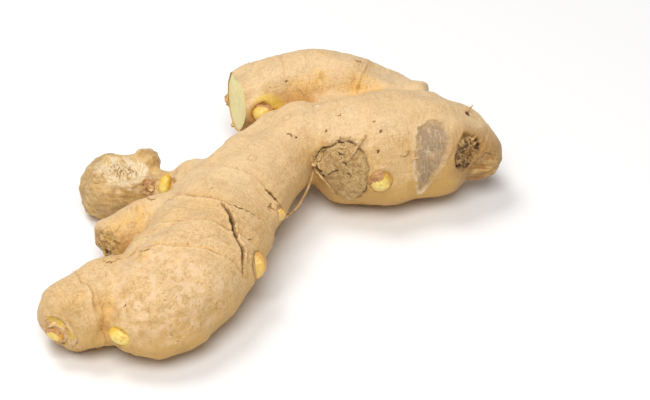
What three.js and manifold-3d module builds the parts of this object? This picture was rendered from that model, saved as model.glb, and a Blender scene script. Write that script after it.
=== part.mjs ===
// A hand of ginger root: one rhizome with stubby fingers, node rings, buds, old scars and one cut end.
// Millimetres, +Z up. It lies on the plane z = 0, with the origin under the middle of its bounding box.

import * as THREE from "three";
import { mergeVertices } from "three/addons/utils/BufferGeometryUtils.js";
import Module from "manifold-3d";

// ---- Driving dimensions ----

const RING_RIDGE = 0.45; // height of the raised edge of a node ring
const RING_GROOVE = 0.35; // depth of the groove beyond it
const RING_ROWS = [-2, -0.2, 1.5, 3.2]; // rows of vertices round each ring, along the lobe
const ROW_STEP = 5; // longest step between rows
const CAP_ROWS = 5; // rows in a rounded end
const CAP_POWER = 2.3; // 2 is a round end, more is blunter
const SWELL = 0.7; // height of the broad lumps in the skin
const SWELL_LENGTH = 27; // their wavelength
const BUD_SIDES = 12;
const BUD_FOOT = 2.5; // how deep a bud's foot is sunk
const SCAR_SIDES = 14;
const PLATE_SIDES = 24;

// Each lobe is a row of stations from its tip to its root: [x, y, z, half width, half height].
// rings are the distances of its node rings from the tip, and lean tilts the rings.
const LOBES = {
  main_finger: {
    sides: 32,
    lean: 2.5,
    leanAngle: 0.9,
    caps: [17, 14],
    rings: [28.5, 45, 59.5, 76.5, 97, 108],
    stations: [
      [-48, -71, 14.5, 15, 12],
      [-42.5, -59, 16, 18.5, 15],
      [-35, -44, 16.7, 22, 17],
      [-28, -27, 17.2, 22, 16],
      [-23, -11, 18, 21, 15],
      [-15, 4, 19, 18.5, 14.5],
      [-7, 19, 20.5, 16.5, 15],
      [3, 28, 22, 15.5, 16],
      [18, 31, 21.5, 14.5, 16],
    ],
  },
  knob: {
    sides: 32,
    lean: 3,
    leanAngle: 0.4,
    caps: [9, 13],
    rings: [9, 22, 38, 56],
    stations: [
      [80.5, 31, 16.5, 8.5, 9],
      [74, 32, 17.8, 11, 11.3],
      [66, 33, 20, 14.3, 14.8],
      [56, 32.5, 20.5, 19.5, 18.5],
      [44, 31.5, 20.2, 21.5, 20.5],
      [30, 29, 20, 22, 20.3],
      [17, 28, 20.5, 20, 18.5],
      [6, 27.5, 21.5, 16, 15.5],
    ],
  },
  back_finger: {
    sides: 26,
    lean: 3,
    leanAngle: 1.2,
    caps: [3, 8],
    rings: [13, 26, 47, 54, 66],
    stations: [
      [-25, 51, 27, 11, 11.5],
      [-18, 52, 27, 11.5, 11.5],
      [-8, 55, 28, 12.5, 12.5],
      [6, 57, 29, 13, 13.5],
      [22, 56, 29, 13, 13.5],
      [37, 52, 26.5, 13.5, 12.5],
      [50, 44, 24, 14, 14],
    ],
  },
  front_finger: {
    sides: 26,
    lean: 2,
    leanAngle: 0.8,
    caps: [12, 8],
    rings: [6, 16, 27],
    stations: [
      [-79, -60.5, 13, 10.5, 10],
      [-73.5, -57, 13.7, 13, 12.5],
      [-67, -54, 14, 14.5, 13.5],
      [-57, -49, 14.5, 14.5, 13.5],
      [-46, -43, 16, 14, 13],
    ],
  },
  side_finger: {
    sides: 22,
    lean: 1,
    leanAngle: 0,
    caps: [4, 8],
    rings: [9, 19],
    stations: [
      [-64, -19, 12.5, 7.5, 7.5],
      [-59, -16.5, 13.5, 8.5, 8.5],
      [-52, -13, 14.5, 9.5, 9.5],
      [-43, -10.5, 16, 11, 11],
      [-34, -9, 17, 11, 11],
    ],
  },
  bud_finger: {
    sides: 22,
    lean: 1,
    leanAngle: 0,
    caps: [7, 8],
    rings: [10],
    stations: [
      [-43.5, 9, 14.5, 7.5, 7.5],
      [-38, 10.5, 15, 8.5, 8.5],
      [-31, 11, 16.5, 10, 10],
      [-21, 9, 18, 12, 12],
    ],
  },
  gnarled_finger: {
    sides: 24,
    lean: 2,
    leanAngle: 1,
    caps: [9, 6],
    rings: [24],
    stations: [
      [-75, 20.5, 11.5, 9, 9],
      [-67, 18.5, 11.5, 11.5, 11.5],
      [-58, 16, 11.5, 12, 11.7],
      [-49, 13.5, 12, 9, 9.5],
      [-39, 11, 13, 7.5, 8],
      [-28, 8, 15, 8, 8],
    ],
  },
  gnarled_nub: {
    sides: 14,
    lean: 0,
    leanAngle: 0,
    caps: [4, 3],
    rings: [],
    stations: [
      [-47.5, 24, 21.5, 3, 3],
      [-50, 22, 19.5, 4, 4],
      [-54, 18, 15, 5, 5],
    ],
  },
  side_nub: {
    sides: 16,
    lean: 0,
    leanAngle: 0,
    caps: [4, 4],
    rings: [6],
    stations: [
      [0, -3.5, 15.5, 3, 3.5],
      [-4, -3, 17, 6, 6.5],
      [-9, -2, 18, 9, 8],
      [-14, -1, 18, 9, 8],
    ],
  },
};

// Buds: where each one leaves the skin, the way it points, its radius, how far it stands out, and how much
// wider it is than high.
const BUDS = {
  main_tip: { at: [-52.3, -67.8, 14.6], points: [-0.6, -0.78, 0.05], radius: 3.3, reach: 4, wide: 1.15 },
  main_side: { at: [-8.8, -33.4, 17], points: [0.85, -0.5, 0.1], radius: 4.4, reach: 2.6, wide: 0.65 },
  nub_tip: { at: [-0.5, -4, 15.5], points: [0.9, -0.35, -0.1], radius: 1.8, reach: 2.2, wide: 1 },
  knob: { at: [34.8, 8.4, 21.4], points: [-0.1, -0.95, -0.05], radius: 4.2, reach: 3.6, wide: 0.95 },
  back: { at: [-8, 43.5, 28.2], points: [-0.4, -0.9, 0.05], radius: 4.2, reach: 3.2, wide: 1 },
  bud_finger: { at: [-43, 8.3, 15.5], points: [-0.75, -0.6, 0.25], radius: 4.4, reach: 2.6, wide: 0.7 },
  front_tip: { at: [-75.5, -64, 12], points: [-0.65, -0.75, 0.1], radius: 2.8, reach: 1.4, wide: 1.2 },
  gnarled: { at: [-48.5, 8.5, 18.5], points: [-0.2, -0.8, 0.6], radius: 2, reach: 1.3, wide: 1 },
};

// The back finger ends in a knife cut. The knife is a block that starts at this point and faces outward.
const CUT = { at: [-18.5, 52, 27], faces: [-0.94, -0.32, 0.08], size: [30, 30, 16] };

// Old scars: hollows pressed into the skin. size is half width, half height and depth.
const SCARS = {
  grey_oval: { at: [53, 14.6, 29.2], faces: [0.2, -0.75, 0.6], size: [6, 11.5, 1.4] },
  dark_hole: { at: [66.3, 20.5, 25], faces: [0.35, -0.8, 0.45], size: [5, 6, 3.2] },
  knob_tip: { at: [79.5, 25.5, 15], faces: [0.75, -0.6, -0.2], size: [6, 5, 1.5] },
  gnarled_bowl: { at: [-61, 13.5, 22.6], faces: [-0.1, -0.35, 0.9], size: [9.5, 6, 2] },
  side_tip: { at: [-65, -20.5, 12], faces: [-0.85, -0.5, 0.1], size: [4.5, 5.5, 1.6] },
};

// Flaky bark over an old scar on the knob, a little prouder than the skin. depth is that of the cutter.
const PLATE = { at: [20.5, 9.9, 22.5], faces: [-0.25, -0.95, 0.1], radius: 9.8, thickness: 1, depth: 12 };

// A split in the skin of the main finger, as stations like a lobe's.
const SPLIT = {
  sides: 8,
  lean: 0,
  leanAngle: 0,
  caps: [2, 2],
  rings: [],
  stations: [
    [-21.3, -17.5, 33, 0.3, 0.8],
    [-18.6, -24, 32, 0.6, 1.8],
    [-16, -31, 29.8, 0.7, 2],
    [-13.9, -38, 26.3, 0.6, 1.8],
    [-13, -45, 22, 0.3, 0.8],
  ],
};

const GROUND = [400, 400, 40]; // a block under z = 0 that is cut away

// ---- Swept lobes ----

const UP = new THREE.Vector3(0, 0, 1);

// Broad lumps of the skin at a point, in millimetres outward.
function swell(p) {
  const k = (2 * Math.PI) / SWELL_LENGTH;
  return (
    SWELL *
    (Math.sin(k * (p.x + 0.6 * p.z)) * Math.cos(k * 1.3 * p.y) +
      0.5 * Math.sin(k * 1.9 * (p.y - 0.7 * p.x) + 2 * Math.cos(k * p.z)))
  );
}

// How far the skin stands out at a distance past a node ring.
function ringRelief(past) {
  const bell = (x, width) => Math.exp(-((x / width) ** 2));
  return RING_RIDGE * bell(past + 0.2, 0.9) - RING_GROOVE * bell(past - 1.5, 1.2);
}

// The share of its full girth that a lobe has near a rounded end.
function capShare(distance, length) {
  const x = 1 - Math.min(1, Math.max(0, distance / length));
  return (1 - x ** CAP_POWER) ** (1 / CAP_POWER);
}

// Distances along a lobe that get a row of vertices, without the two end points.
function rowDistances(lobe, length) {
  const [tipCap, rootCap] = lobe.caps;
  const fixed = new Set([tipCap, length - rootCap]);
  for (let i = 1; i < CAP_ROWS; i++) {
    const share = 1 - Math.cos((i / CAP_ROWS) * (Math.PI / 2));
    fixed.add(tipCap * share);
    fixed.add(length - rootCap * share);
  }
  for (const ring of lobe.rings)
    for (const offset of RING_ROWS)
      if (ring + offset > 1 && ring + offset < length - 1) fixed.add(ring + offset);
  const sorted = [...fixed].sort((a, b) => a - b);
  const rows = [sorted[0]];
  for (const next of sorted.slice(1)) {
    const last = rows[rows.length - 1];
    if (next - last < 0.35) continue;
    const steps = Math.ceil((next - last) / ROW_STEP);
    for (let i = 1; i <= steps; i++) rows.push(last + ((next - last) * i) / steps);
  }
  return rows;
}

// A lobe as a closed surface: rings of vertices round its centre line, shut by a point at each end.
// grow makes it larger all over, in millimetres.
function lobeGeometry(lobe, grow = 0) {
  const { stations, sides, lean, leanAngle, rings } = lobe;
  const centre = new THREE.CatmullRomCurve3(
    stations.map(([x, y, z]) => new THREE.Vector3(x, y, z)),
    false,
    "catmullrom",
  );
  const girth = new THREE.CatmullRomCurve3(
    stations.map(([, , , width, height]) => new THREE.Vector3(width, height, 0)),
    false,
    "catmullrom",
  );
  const length = centre.getLength();

  const pointAt = (distance, angle) => {
    const t = centre.getUtoTmapping(THREE.MathUtils.clamp(distance / length, 0, 1));
    const tangent = centre.getTangent(t);
    const side = tangent.clone().cross(UP).normalize();
    const top = side.clone().cross(tangent);
    const share = capShare(distance, lobe.caps[0]) * capShare(length - distance, lobe.caps[1]);
    const size = girth.getPoint(t).multiplyScalar(share);
    const outward = side
      .multiplyScalar(Math.cos(angle) * (size.x + grow))
      .addScaledVector(top, Math.sin(angle) * (size.y + grow));
    const leanShift = share * (lean * Math.cos(angle - leanAngle) + 0.5 * Math.sin(3 * angle));
    const point = centre.getPoint(t).add(outward).addScaledVector(tangent, leanShift);
    const relief = rings.reduce((sum, ring) => sum + ringRelief(distance - ring), swell(point));
    return point.addScaledVector(outward.normalize(), relief * share);
  };

  const rows = rowDistances(lobe, length);
  const vertices = [centre.getPoint(0).toArray()];
  for (const distance of rows)
    for (let i = 0; i < sides; i++)
      vertices.push(pointAt(distance, (i / sides) * 2 * Math.PI).toArray());
  vertices.push(centre.getPoint(1).toArray());

  const last = vertices.length - 1;
  const at = (row, i) => 1 + row * sides + (i % sides);
  const faces = [];
  for (let i = 0; i < sides; i++) {
    faces.push(0, at(0, i), at(0, i + 1));
    for (let row = 0; row < rows.length - 1; row++) {
      faces.push(at(row, i), at(row + 1, i), at(row, i + 1));
      faces.push(at(row, i + 1), at(row + 1, i), at(row + 1, i + 1));
    }
    faces.push(at(rows.length - 1, i), last, at(rows.length - 1, i + 1));
  }
  return new THREE.BufferGeometry()
    .setAttribute("position", new THREE.Float32BufferAttribute(vertices.flat(), 3))
    .setIndex(faces);
}

// ---- Joining and cutting ----

const wasm = await Module();
wasm.setup();

function solidOf(geometry) {
  const bare = geometry.clone();
  bare.deleteAttribute("normal");
  bare.deleteAttribute("uv");
  const merged = mergeVertices(bare, 1e-4);
  return new wasm.Manifold(
    new wasm.Mesh({
      numProp: 3,
      vertProperties: merged.attributes.position.array,
      triVerts: new Uint32Array(merged.index.array),
    }),
  );
}

function geometryOf(solid) {
  const { vertProperties, triVerts } = solid.getMesh();
  return new THREE.BufferGeometry()
    .setAttribute("position", new THREE.BufferAttribute(vertProperties, 3))
    .setIndex(new THREE.BufferAttribute(triVerts, 1));
}

// Moves geometry that stands on z = 0 to a point, facing a direction. Its y axis stays as upright as it can.
function place(geometry, at, faces) {
  const outward = new THREE.Vector3(...faces).normalize();
  const side = UP.clone().cross(outward).normalize();
  const top = outward.clone().cross(side);
  const turn = new THREE.Matrix4().makeBasis(side, top, outward);
  return geometry.applyMatrix4(turn.setPosition(...at));
}

// A bud: a blunt cone on a collar, with its foot sunk in the skin.
function budGeometry({ at, points, radius, reach, wide }) {
  const profile = [
    [0, -BUD_FOOT],
    [radius, -BUD_FOOT],
    [radius, 0],
    [radius * 0.95, reach * 0.35],
    [radius * 0.72, reach * 0.5],
    [radius * 0.5, reach * 0.85],
    [0, reach],
  ];
  const outline = profile.map(([x, y]) => new THREE.Vector2(x, y));
  const lathe = new THREE.LatheGeometry(outline, BUD_SIDES).rotateX(Math.PI / 2);
  return place(lathe.scale(wide, 1, 1), at, points);
}

function scarGeometry({ at, faces, size }) {
  return place(new THREE.SphereGeometry(1, SCAR_SIDES, SCAR_SIDES / 2).scale(...size), at, faces);
}

// The ragged round prism that cuts the plate out of a thicker skin.
function platePrism({ at, faces, radius, depth }) {
  const outline = new THREE.Shape();
  for (let i = 0; i < PLATE_SIDES; i++) {
    const angle = (i / PLATE_SIDES) * 2 * Math.PI;
    const ragged = radius * (1 + 0.06 * Math.sin(3 * angle + 1) + 0.05 * Math.sin(7 * angle));
    outline[i ? "lineTo" : "moveTo"](ragged * Math.cos(angle), ragged * Math.sin(angle));
  }
  const prism = new THREE.ExtrudeGeometry(outline, { depth, bevelEnabled: false, steps: 1 });
  return place(prism.translate(0, 0, -depth / 2), at, faces);
}

let rhizome = Object.values(LOBES)
  .map((lobe) => solidOf(lobeGeometry(lobe)))
  .reduce((whole, lobe) => whole.add(lobe));

for (const scar of Object.values(SCARS)) rhizome = rhizome.subtract(solidOf(scarGeometry(scar)));
rhizome = rhizome.subtract(solidOf(lobeGeometry(SPLIT)));

const thickSkin = solidOf(lobeGeometry(LOBES.knob, PLATE.thickness));
rhizome = rhizome.add(thickSkin.intersect(solidOf(platePrism(PLATE))));

for (const bud of Object.values(BUDS)) rhizome = rhizome.add(solidOf(budGeometry(bud)));

const knife = new THREE.BoxGeometry(...CUT.size).translate(0, 0, CUT.size[2] / 2);
rhizome = rhizome.subtract(solidOf(place(knife, CUT.at, CUT.faces)));

// Cutting along z = 0 leaves the three flat spots that it rests on.
const ground = new THREE.BoxGeometry(...GROUND).translate(0, 0, -GROUND[2] / 2);
rhizome = rhizome.subtract(solidOf(ground));

// ---- The part ----

// The origin goes under the middle of the bounding box.
const shape = geometryOf(rhizome);
shape.computeBoundingBox();
const middle = shape.boundingBox.getCenter(new THREE.Vector3());
shape.translate(-middle.x, -middle.y, 0);

const skin = new THREE.MeshStandardMaterial({ color: 0xd0ab77, roughness: 0.75, metalness: 0 });
const mesh = new THREE.Mesh(shape, skin);
mesh.name = "rhizome";

const ginger = new THREE.Group();
ginger.add(mesh);

export default ginger;
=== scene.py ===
"""The looks of a hand of ginger root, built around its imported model.

Shapes are worked out in millimetres and become meshes in metres. Points of the root are given in the frame
of its lobes' stations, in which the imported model's origin lies at ORIGIN.
"""

import math
from collections import namedtuple

import bmesh
import bpy
import numpy as np
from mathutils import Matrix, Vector
from mathutils.kdtree import KDTree


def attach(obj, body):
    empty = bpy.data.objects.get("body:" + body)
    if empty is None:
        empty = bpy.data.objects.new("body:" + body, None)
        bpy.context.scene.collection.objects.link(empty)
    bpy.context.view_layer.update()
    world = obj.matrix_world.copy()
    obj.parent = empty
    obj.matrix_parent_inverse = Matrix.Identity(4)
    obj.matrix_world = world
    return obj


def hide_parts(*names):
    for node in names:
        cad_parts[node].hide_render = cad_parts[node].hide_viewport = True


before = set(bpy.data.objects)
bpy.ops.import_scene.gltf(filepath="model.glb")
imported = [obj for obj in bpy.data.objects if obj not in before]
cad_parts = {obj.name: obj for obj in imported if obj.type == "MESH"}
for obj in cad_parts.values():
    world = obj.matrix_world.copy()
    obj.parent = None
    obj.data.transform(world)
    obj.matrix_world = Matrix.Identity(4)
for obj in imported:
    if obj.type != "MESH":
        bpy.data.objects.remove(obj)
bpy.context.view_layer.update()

MM = 0.001
ORIGIN = np.array([-0.63, -1.006, 0.0])

# ---- Driving dimensions, millimetres ----

CAP_POWER = 2.3  # 2 is a round end, more is blunter
SWELL = 0.7  # height of the broad lumps
SWELL_LENGTH = 27.0

VOXEL = 0.86  # pitch of the skin's mesh before its fine parts are split
FINE_REACH = 1.3  # how far from a ring or scar the mesh is split
FINE_SPLIT_REACH = 1.7  # the same from a split
FINE_FLOOR = 1.5  # nothing is split below this height
LOBE_SMOOTHING = 5  # rounds of smoothing for the whole skin
CREASE_SMOOTHING = 14  # and then for the creases between lobes
CREASE_WIDTH = 2.2
RING_FAR = 30.0  # the distance past a ring on a lobe without one
SCAR_DEPTH = 11.0  # how far before or behind its plane a scar reaches
OFF_SCAR = 50.0  # added to the distance of points beyond that
LINE_REACH = 6.0  # how far from a split its distances are worked out
LINE_FAR = 9.0  # the distance given beyond that
FAR = 1e9
NO_HEIGHT = 1e-9  # in place of 0, so as not to divide by it
MERGE = 1e-6  # points nearer than this become one, metres

# Heights of the skin's relief, millimetres.
RING_RIDGE = 0.38
RING_GROOVE = 0.3
RING_STEP = 0.4
RING_WAIST = 0.35
BROAD_LUMPS = 0.4
SMALL_LUMPS = 0.12
WARTS = 0.22
LONG_WRINKLES = 0.1
CROSS_WRINKLES = 0.08
DRY_FURROWS = 0.55
DRY_LUMPS = 0.35
GREY_DEPTH = 0.55
GREY_RIM = 0.3
HOLE_DEPTH = 0.6
HOLE_CRUMBS = 1.2
HOLE_RIM = 0.4
PLATE_HEIGHT = 0.3
PLATE_GROOVE = 0.35
BOWL_DEPTH = 1.3
BOWL_RIM = 0.5
BOWL_RIBS = 0.1
TIP_RINGS = 0.45
LONG_SPLIT_LIP = 0.7

# Each lobe: how far its cross sections lean forward and on which side, the lengths of its two caps, its
# rings, and its stations from tip to root as (x, y, z, half width, half height). Each ring is its distance
# from the tip, how much farther from it the ring lies on the lobe's right than at its top, and its plainness.
LOBES = {
    "main_finger": dict(
        lean=2.5, lean_angle=0.9, caps=(17, 14),
        rings=((31, 7, 0.9), (46, 4, 0.8), (60.5, 0, 0.9), (78, 0, 0.3), (98, -1, 0.12)),
        stations=(
            (-48, -71, 14.5, 15, 12), (-42.5, -59, 16, 18.5, 15), (-35, -44, 16.7, 22, 17),
            (-28, -27, 17.2, 22, 16), (-23, -11, 18, 21, 15), (-15, 4, 19, 18.5, 14.5),
            (-7, 19, 20.5, 16.5, 15), (3, 28, 22, 15.5, 16), (18, 31, 21.5, 14.5, 16),
        ),
    ),
    "knob": dict(
        lean=3, lean_angle=0.4, caps=(9, 13), rings=((9, 0, 0.4), (22, 0, 0.2), (38, 0, 0.1)),
        stations=(
            (80.5, 31, 16.5, 8.5, 9), (74, 32, 17.8, 11, 11.3), (66, 33, 20, 14.3, 14.8),
            (56, 32.5, 20.5, 19.5, 18.5), (44, 31.5, 20.2, 21.5, 20.5), (30, 29, 20, 22, 20.3),
            (17, 28, 20.5, 20, 18.5), (6, 27.5, 21.5, 16, 15.5),
        ),
    ),
    "back_finger": dict(
        lean=3, lean_angle=1.2, caps=(3, 8),
        rings=((10.5, -1, 0.25), (25, 0, 0.35), (44, 0, 0.15), (54.5, -1, 0.35), (66, 0, 0.1)),
        stations=(
            (-25, 51.5, 25.8, 11.4, 12.2), (-18, 52, 26.2, 11.8, 12), (-8, 55, 28, 12.5, 12.5),
            (6, 57, 29, 13, 13.5), (22, 56, 29, 13, 13.5), (37, 52, 26.5, 13.5, 12.5), (50, 44, 24, 14, 14),
        ),
    ),
    "front_finger": dict(
        lean=2, lean_angle=0.8, caps=(12, 8), rings=((6, 0, 0.3), (16, 0, 0.45), (27, 0, 0.3)),
        stations=(
            (-79, -60.5, 13, 10.5, 10), (-73.5, -57, 13.7, 13, 12.5), (-67, -54, 14, 14.5, 13.5),
            (-57, -49, 14.5, 14.5, 13.5), (-46, -43, 16, 14, 13),
        ),
    ),
    "side_finger": dict(
        lean=1, lean_angle=0, caps=(4, 8), rings=((9, 0, 0.15), (19, 0, 0.2)),
        stations=(
            (-64, -19, 12.5, 7.5, 7.5), (-59, -16.5, 13.5, 8.5, 8.5), (-52, -13, 14.5, 9.5, 9.5),
            (-43, -10.5, 16, 11, 11), (-34, -9, 17, 11, 11),
        ),
    ),
    "bud_finger": dict(
        lean=1, lean_angle=0, caps=(7, 8), rings=((10, 0, 0.4),),
        stations=(
            (-43.5, 9, 14.5, 7.5, 7.5), (-38, 10.5, 15, 8.5, 8.5), (-31, 11, 16.5, 10, 10),
            (-21, 9, 18, 12, 12),
        ),
    ),
    "gnarled_finger": dict(
        lean=2, lean_angle=1, caps=(9, 6), rings=((24, 0, 0.6),),
        stations=(
            (-75, 20.5, 11.5, 9, 9), (-67, 18.5, 11.5, 11.5, 11.5), (-58, 16, 11.5, 12, 11.7),
            (-49, 13.5, 12, 9, 9.5), (-39, 11, 13, 7.5, 8), (-28, 8, 15, 8, 8),
        ),
    ),
    "gnarled_nub": dict(
        lean=0, lean_angle=0, caps=(4, 3), rings=(),
        stations=(
            (-46.5, 24, 21.2, 5, 4.8), (-50, 22, 19, 6, 5.5), (-54, 18, 15, 6, 6),
        ),
    ),
    "side_nub": dict(
        lean=0, lean_angle=0, caps=(4, 4), rings=((6, 0, 0.5),),
        stations=(
            (0, -3.5, 15.5, 3, 3.5), (-4, -3, 17, 6, 6.5), (-9, -2, 18, 9, 8), (-14, -1, 18, 9, 8),
        ),
    ),
}

# Buds: where each leaves the skin, the way it faces, its radius, how far it stands out, how much wider it is
# than high, how orange it is, where round it a dry scale starts and how far that wraps it (shares of a turn),
# the share of its height that the scale covers, and the height of the collar of skin round it.
Bud = namedtuple("Bud", "at faces radius reach wide orange starts wraps covers collar")
BUDS = {
    "main_tip": Bud((-52.1, -67.8, 15), (-0.35, -0.9, 0.1), 2.7, 2.6, 1.5, 0.1, 0, 0, 0, 0.4),
    "main_side": Bud((-9, -36.5, 18.8), (0.05, -0.95, 0.3), 4.5, 2.5, 0.72, 0.8, 0.2, 0.35, 0.5, 0.5),
    "nub_tip": Bud((-1.6, -10.8, 20.9), (0.6, -0.75, 0.3), 2.6, 2.4, 1, 1, 0.1, 0.5, 0.6, 0.4),
    "knob": Bud((34.8, 8.4, 21.4), (-0.1, -0.95, -0.05), 3.9, 3.8, 0.95, 0.2, 0.15, 0.4, 0.72, 0.4),
    "back": Bud((-8.3, 40.9, 27.8), (-0.3, -0.9, 0.2), 3.2, 3, 1.1, 0.3, 0.05, 0.9, 0.44, 1.6),
    "bud_finger": Bud((-42.6, 6.4, 18.2), (-0.2, -0.9, 0.15), 5.0, 2.4, 0.42, 0, 0, 0, 0, 0.3),
    "front_tip": Bud((-74.8, -64.9, 12.4), (-0.5, -0.85, 0.1), 1.6, 0.6, 1.8, 0.3, 0.1, 0.45, 0.5, 0.4),
    "gnarled": Bud((-48.5, 8.5, 18.5), (-0.2, -0.8, 0.6), 2, 1.3, 1, 0.5, 0, 1, 1.2, 0.3),
}

# A bud from its sunk foot to its tip: shares of its length, and there its girth and how far it stands out.
BUD_SHARES = (0, 0.25, 0.45, 0.7, 0.88, 1)
BUD_GIRTHS = (1.0, 1.03, 0.9, 0.62, 0.34, 0.0)
BUD_LEVELS = (0, 0.45, 0.8, 0.96, 1.0)
BUD_FOOT = 2.2
BUD_ROWS = 26
BUD_SIDES = 56

# The back finger's knife cut: a point on its plane and the way it faces. Only points within reach are cut.
CUT = dict(at=(-18.5, 52, 27), faces=(-0.94, -0.32, 0.08))
CUT_REACH = 17.0
FLESH_RINGS = 22
FLESH_SHRINK = 0.995  # the share of the cut that the flesh fills

# Scars. An outline holds points (side, up) on the plane through at that faces outward.
SCARS = {
    "grey": dict(
        at=(53, 14.6, 29.2), faces=(0.2, -0.75, 0.6),
        outline=(
            (-3, 9.5), (3.4, 11.3), (7, 8.5), (8, 3), (5.7, -3), (1.7, -8), (-3.4, -14), (-5.4, -10),
            (-6, -4), (-4.6, 5),
        ),
    ),
    "hole": dict(
        at=(66.3, 20.5, 25), faces=(0.35, -0.8, 0.45),
        outline=(
            (-2, 6), (0.6, 7), (4.2, 4.5), (4.8, 0.8), (3.4, -1.3), (0, -4.6), (-3, -5.5), (-6, -4),
            (-6.3, 0.6), (-4.5, 3),
        ),
    ),
    "plate": dict(
        at=(20.5, 9.9, 22.5), faces=(-0.25, -0.95, 0.1),
        outline=(
            (-11, 3), (-9.3, 6.6), (-4.7, 10), (-2, 12), (2.2, 12.3), (6.4, 10.8), (9.2, 7.4), (10, 2.3),
            (9.5, -4), (7.1, -9), (2.5, -12), (-1.5, -8.6), (-5.2, -6), (-9, -4),
        ),
    ),
    "knob_tip": dict(
        at=(79.5, 25.5, 15), faces=(0.75, -0.6, -0.2),
        outline=(
            (-11.5, 5.5), (-6, 8), (-1, 6), (2.5, 1), (2, -5), (-4.4, -8), (-10, -6),
        ),
    ),
    "bowl": dict(
        at=(-61, 13.5, 22.6), faces=(-0.1, -0.35, 0.9),
        outline=(
            (-7.4, 0.3), (-4, 4.2), (1.6, 6.3), (6.5, 7), (10.3, 5), (11.5, 1), (9.5, -3.5), (4.7, -6.1),
            (-2, -5.8), (-5.8, -3.3),
        ),
    ),
    "front_tip": dict(
        at=(-74.5, -65.3, 13), faces=(-0.45, -0.85, 0.25),
        outline=(
            (-5, -4), (-6, 1), (-4, 5), (-0.5, 6.2), (4, 4.6), (7.5, 0.6), (8.6, -3.4), (4, -5.4),
            (-1, -5.6),
        ),
    ),
    "side_tip": dict(
        at=(-65, -20.5, 12), faces=(-0.85, -0.5, 0.1),
        outline=(
            (-5, 2), (-3, 7), (1.5, 9.5), (4.2, 9.4), (6.4, 7.4), (7, 3), (5, -4), (0, -6), (-5, -3),
        ),
    ),
}

# Splits in the skin: the half width and the depth of each, and the points that it runs through.
SPLITS = {
    "long": (0.85, 2.2, ((-20.7, -17.8, 32.5), (-19.6, -20.7, 32), (-17.8, -24.7, 30.8),
        (-15.9, -29.6, 29.9), (-14.2, -34.7, 28.6), (-13.1, -40, 26), (-12.8, -43.8, 23.7),
        (-12.6, -46.4, 21.5))),
    "flap": (0.3, 0.6, ((-20.7, -17.8, 32.5), (-17.1, -19.9, 32), (-13.6, -21, 31.1), (-9.5, -21.2, 29.1),
        (-6, -21.6, 25.6))),
    "neck": (0.55, 1.2, ((-6.3, -7, 29.7), (-3.7, -7.4, 27.7), (-1.9, -8, 25.4), (-0.7, -8.6, 23.1))),
    "shoulder": (0.4, 0.8, ((1.1, 18.6, 35.1), (2.5, 18.2, 34.5), (3.6, 17.4, 33.8))),
    "back": (0.5, 1, ((-19.8, 23.2, 29.5), (-18.8, 22.5, 31.5), (-17, 20.8, 33.5))),
    "tip": (0.15, 0.2, ((-42.6, -64.3, 27.8), (-38, -64.5, 27.9), (-36.4, -65, 27.2))),
    "low_tip": (0.16, 0.25, ((-36.8, -70.2, 18.9), (-34.9, -70.2, 17.5), (-33, -69.9, 15.9))),
    "mark": (0.22, 0.3, ((-12.8, -30.6, 27.4), (-11.5, -30.8, 26.3), (-8.5, -29.1, 24))),
    "plate_edge": (0.34, 1.1, ((10.8, 15, 22), (11, 15, 25), (13.6, 15.6, 29.5), (16.2, 14.1, 31.6),
        (18.7, 14.1, 33.1), (20.3, 14.6, 34), (21.4, 14.2, 33.9), (23.7, 14.3, 34.3), (26.2, 12.8, 33.1),
        (30.3, 9.5, 30.5))),
    "plate_nick": (0.25, 0.6, ((20.3, 14.6, 34), (20.6, 15.6, 35.4))),
    "plate_flap": (0.32, 0.6, ((18.6, 12.4, 32.2), (19, 11.9, 31.6), (20.3, 11, 30.9), (22.1, 10.4, 30.7),
        (23.7, 10.5, 31.3))),
    "plate_zigzag": (0.32, 0.6, ((20.6, 10.7, 30.5), (20.8, 10, 29), (22.6, 8.9, 27.8), (22.4, 8.4, 26),
        (21, 8.4, 24.6))),
    "plate_left": (0.28, 0.5, ((21.4, 8.5, 25.2), (19, 9.2, 24.7), (16.4, 10.3, 22.3), (15.1, 10.7, 20.4))),
    "plate_right": (0.32, 0.6, ((21.7, 8.2, 24.7), (23.3, 7.6, 24.3), (24.4, 7.1, 23.1))),
    "plate_foot": (0.22, 0.5, ((29.6, 7.2, 21.5), (30, 7.4, 19), (29.2, 8.4, 15.5), (27, 9.8, 12.4),
        (23.5, 11, 10.8))),
    "plate_under": (0.4, 1, ((13, 13, 20), (14.6, 12, 17), (17, 11.6, 14), (20, 11.8, 11.6))),
    "hole_left": (0.7, 1.8, ((63.5, 17.6, 28.2), (62.2, 15.9, 27), (61.9, 14.9, 25), (62.6, 14.6, 22.8),
        (65, 16.6, 20.8))),
    "hole_slit": (0.45, 1.2, ((66.2, 21.4, 31.2), (65.3, 20.4, 30.3), (64.4, 19.4, 29.6))),
    "hole_top": (0.45, 1.2, ((67.4, 22.4, 31), (69.2, 22.2, 29), (70.4, 22.9, 29), (71, 22.6, 27.4))),
    "hole_floor": (0.5, 1.2, ((65, 17.2, 20.8), (66.8, 18.6, 21.4), (67.4, 19.4, 23))),
    "hole_right": (0.5, 1.4, ((68.2, 22, 26), (69.6, 22.6, 25), (71, 22.8, 25.4))),
    "end_top": (0.2, 0.5, ((70.9, 19.9, 21.6), (73.6, 21.1, 23.6), (76.1, 22.5, 22.4), (79.5, 26, 19.4))),
    "front_crease": (0.13, 0.4, ((-58, -66, 11.1), (-58.1, -66.2, 13.9), (-57.4, -63.3, 22.3),
        (-57, -59.4, 24.5), (-56.1, -56.6, 26.1))),
}

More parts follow.
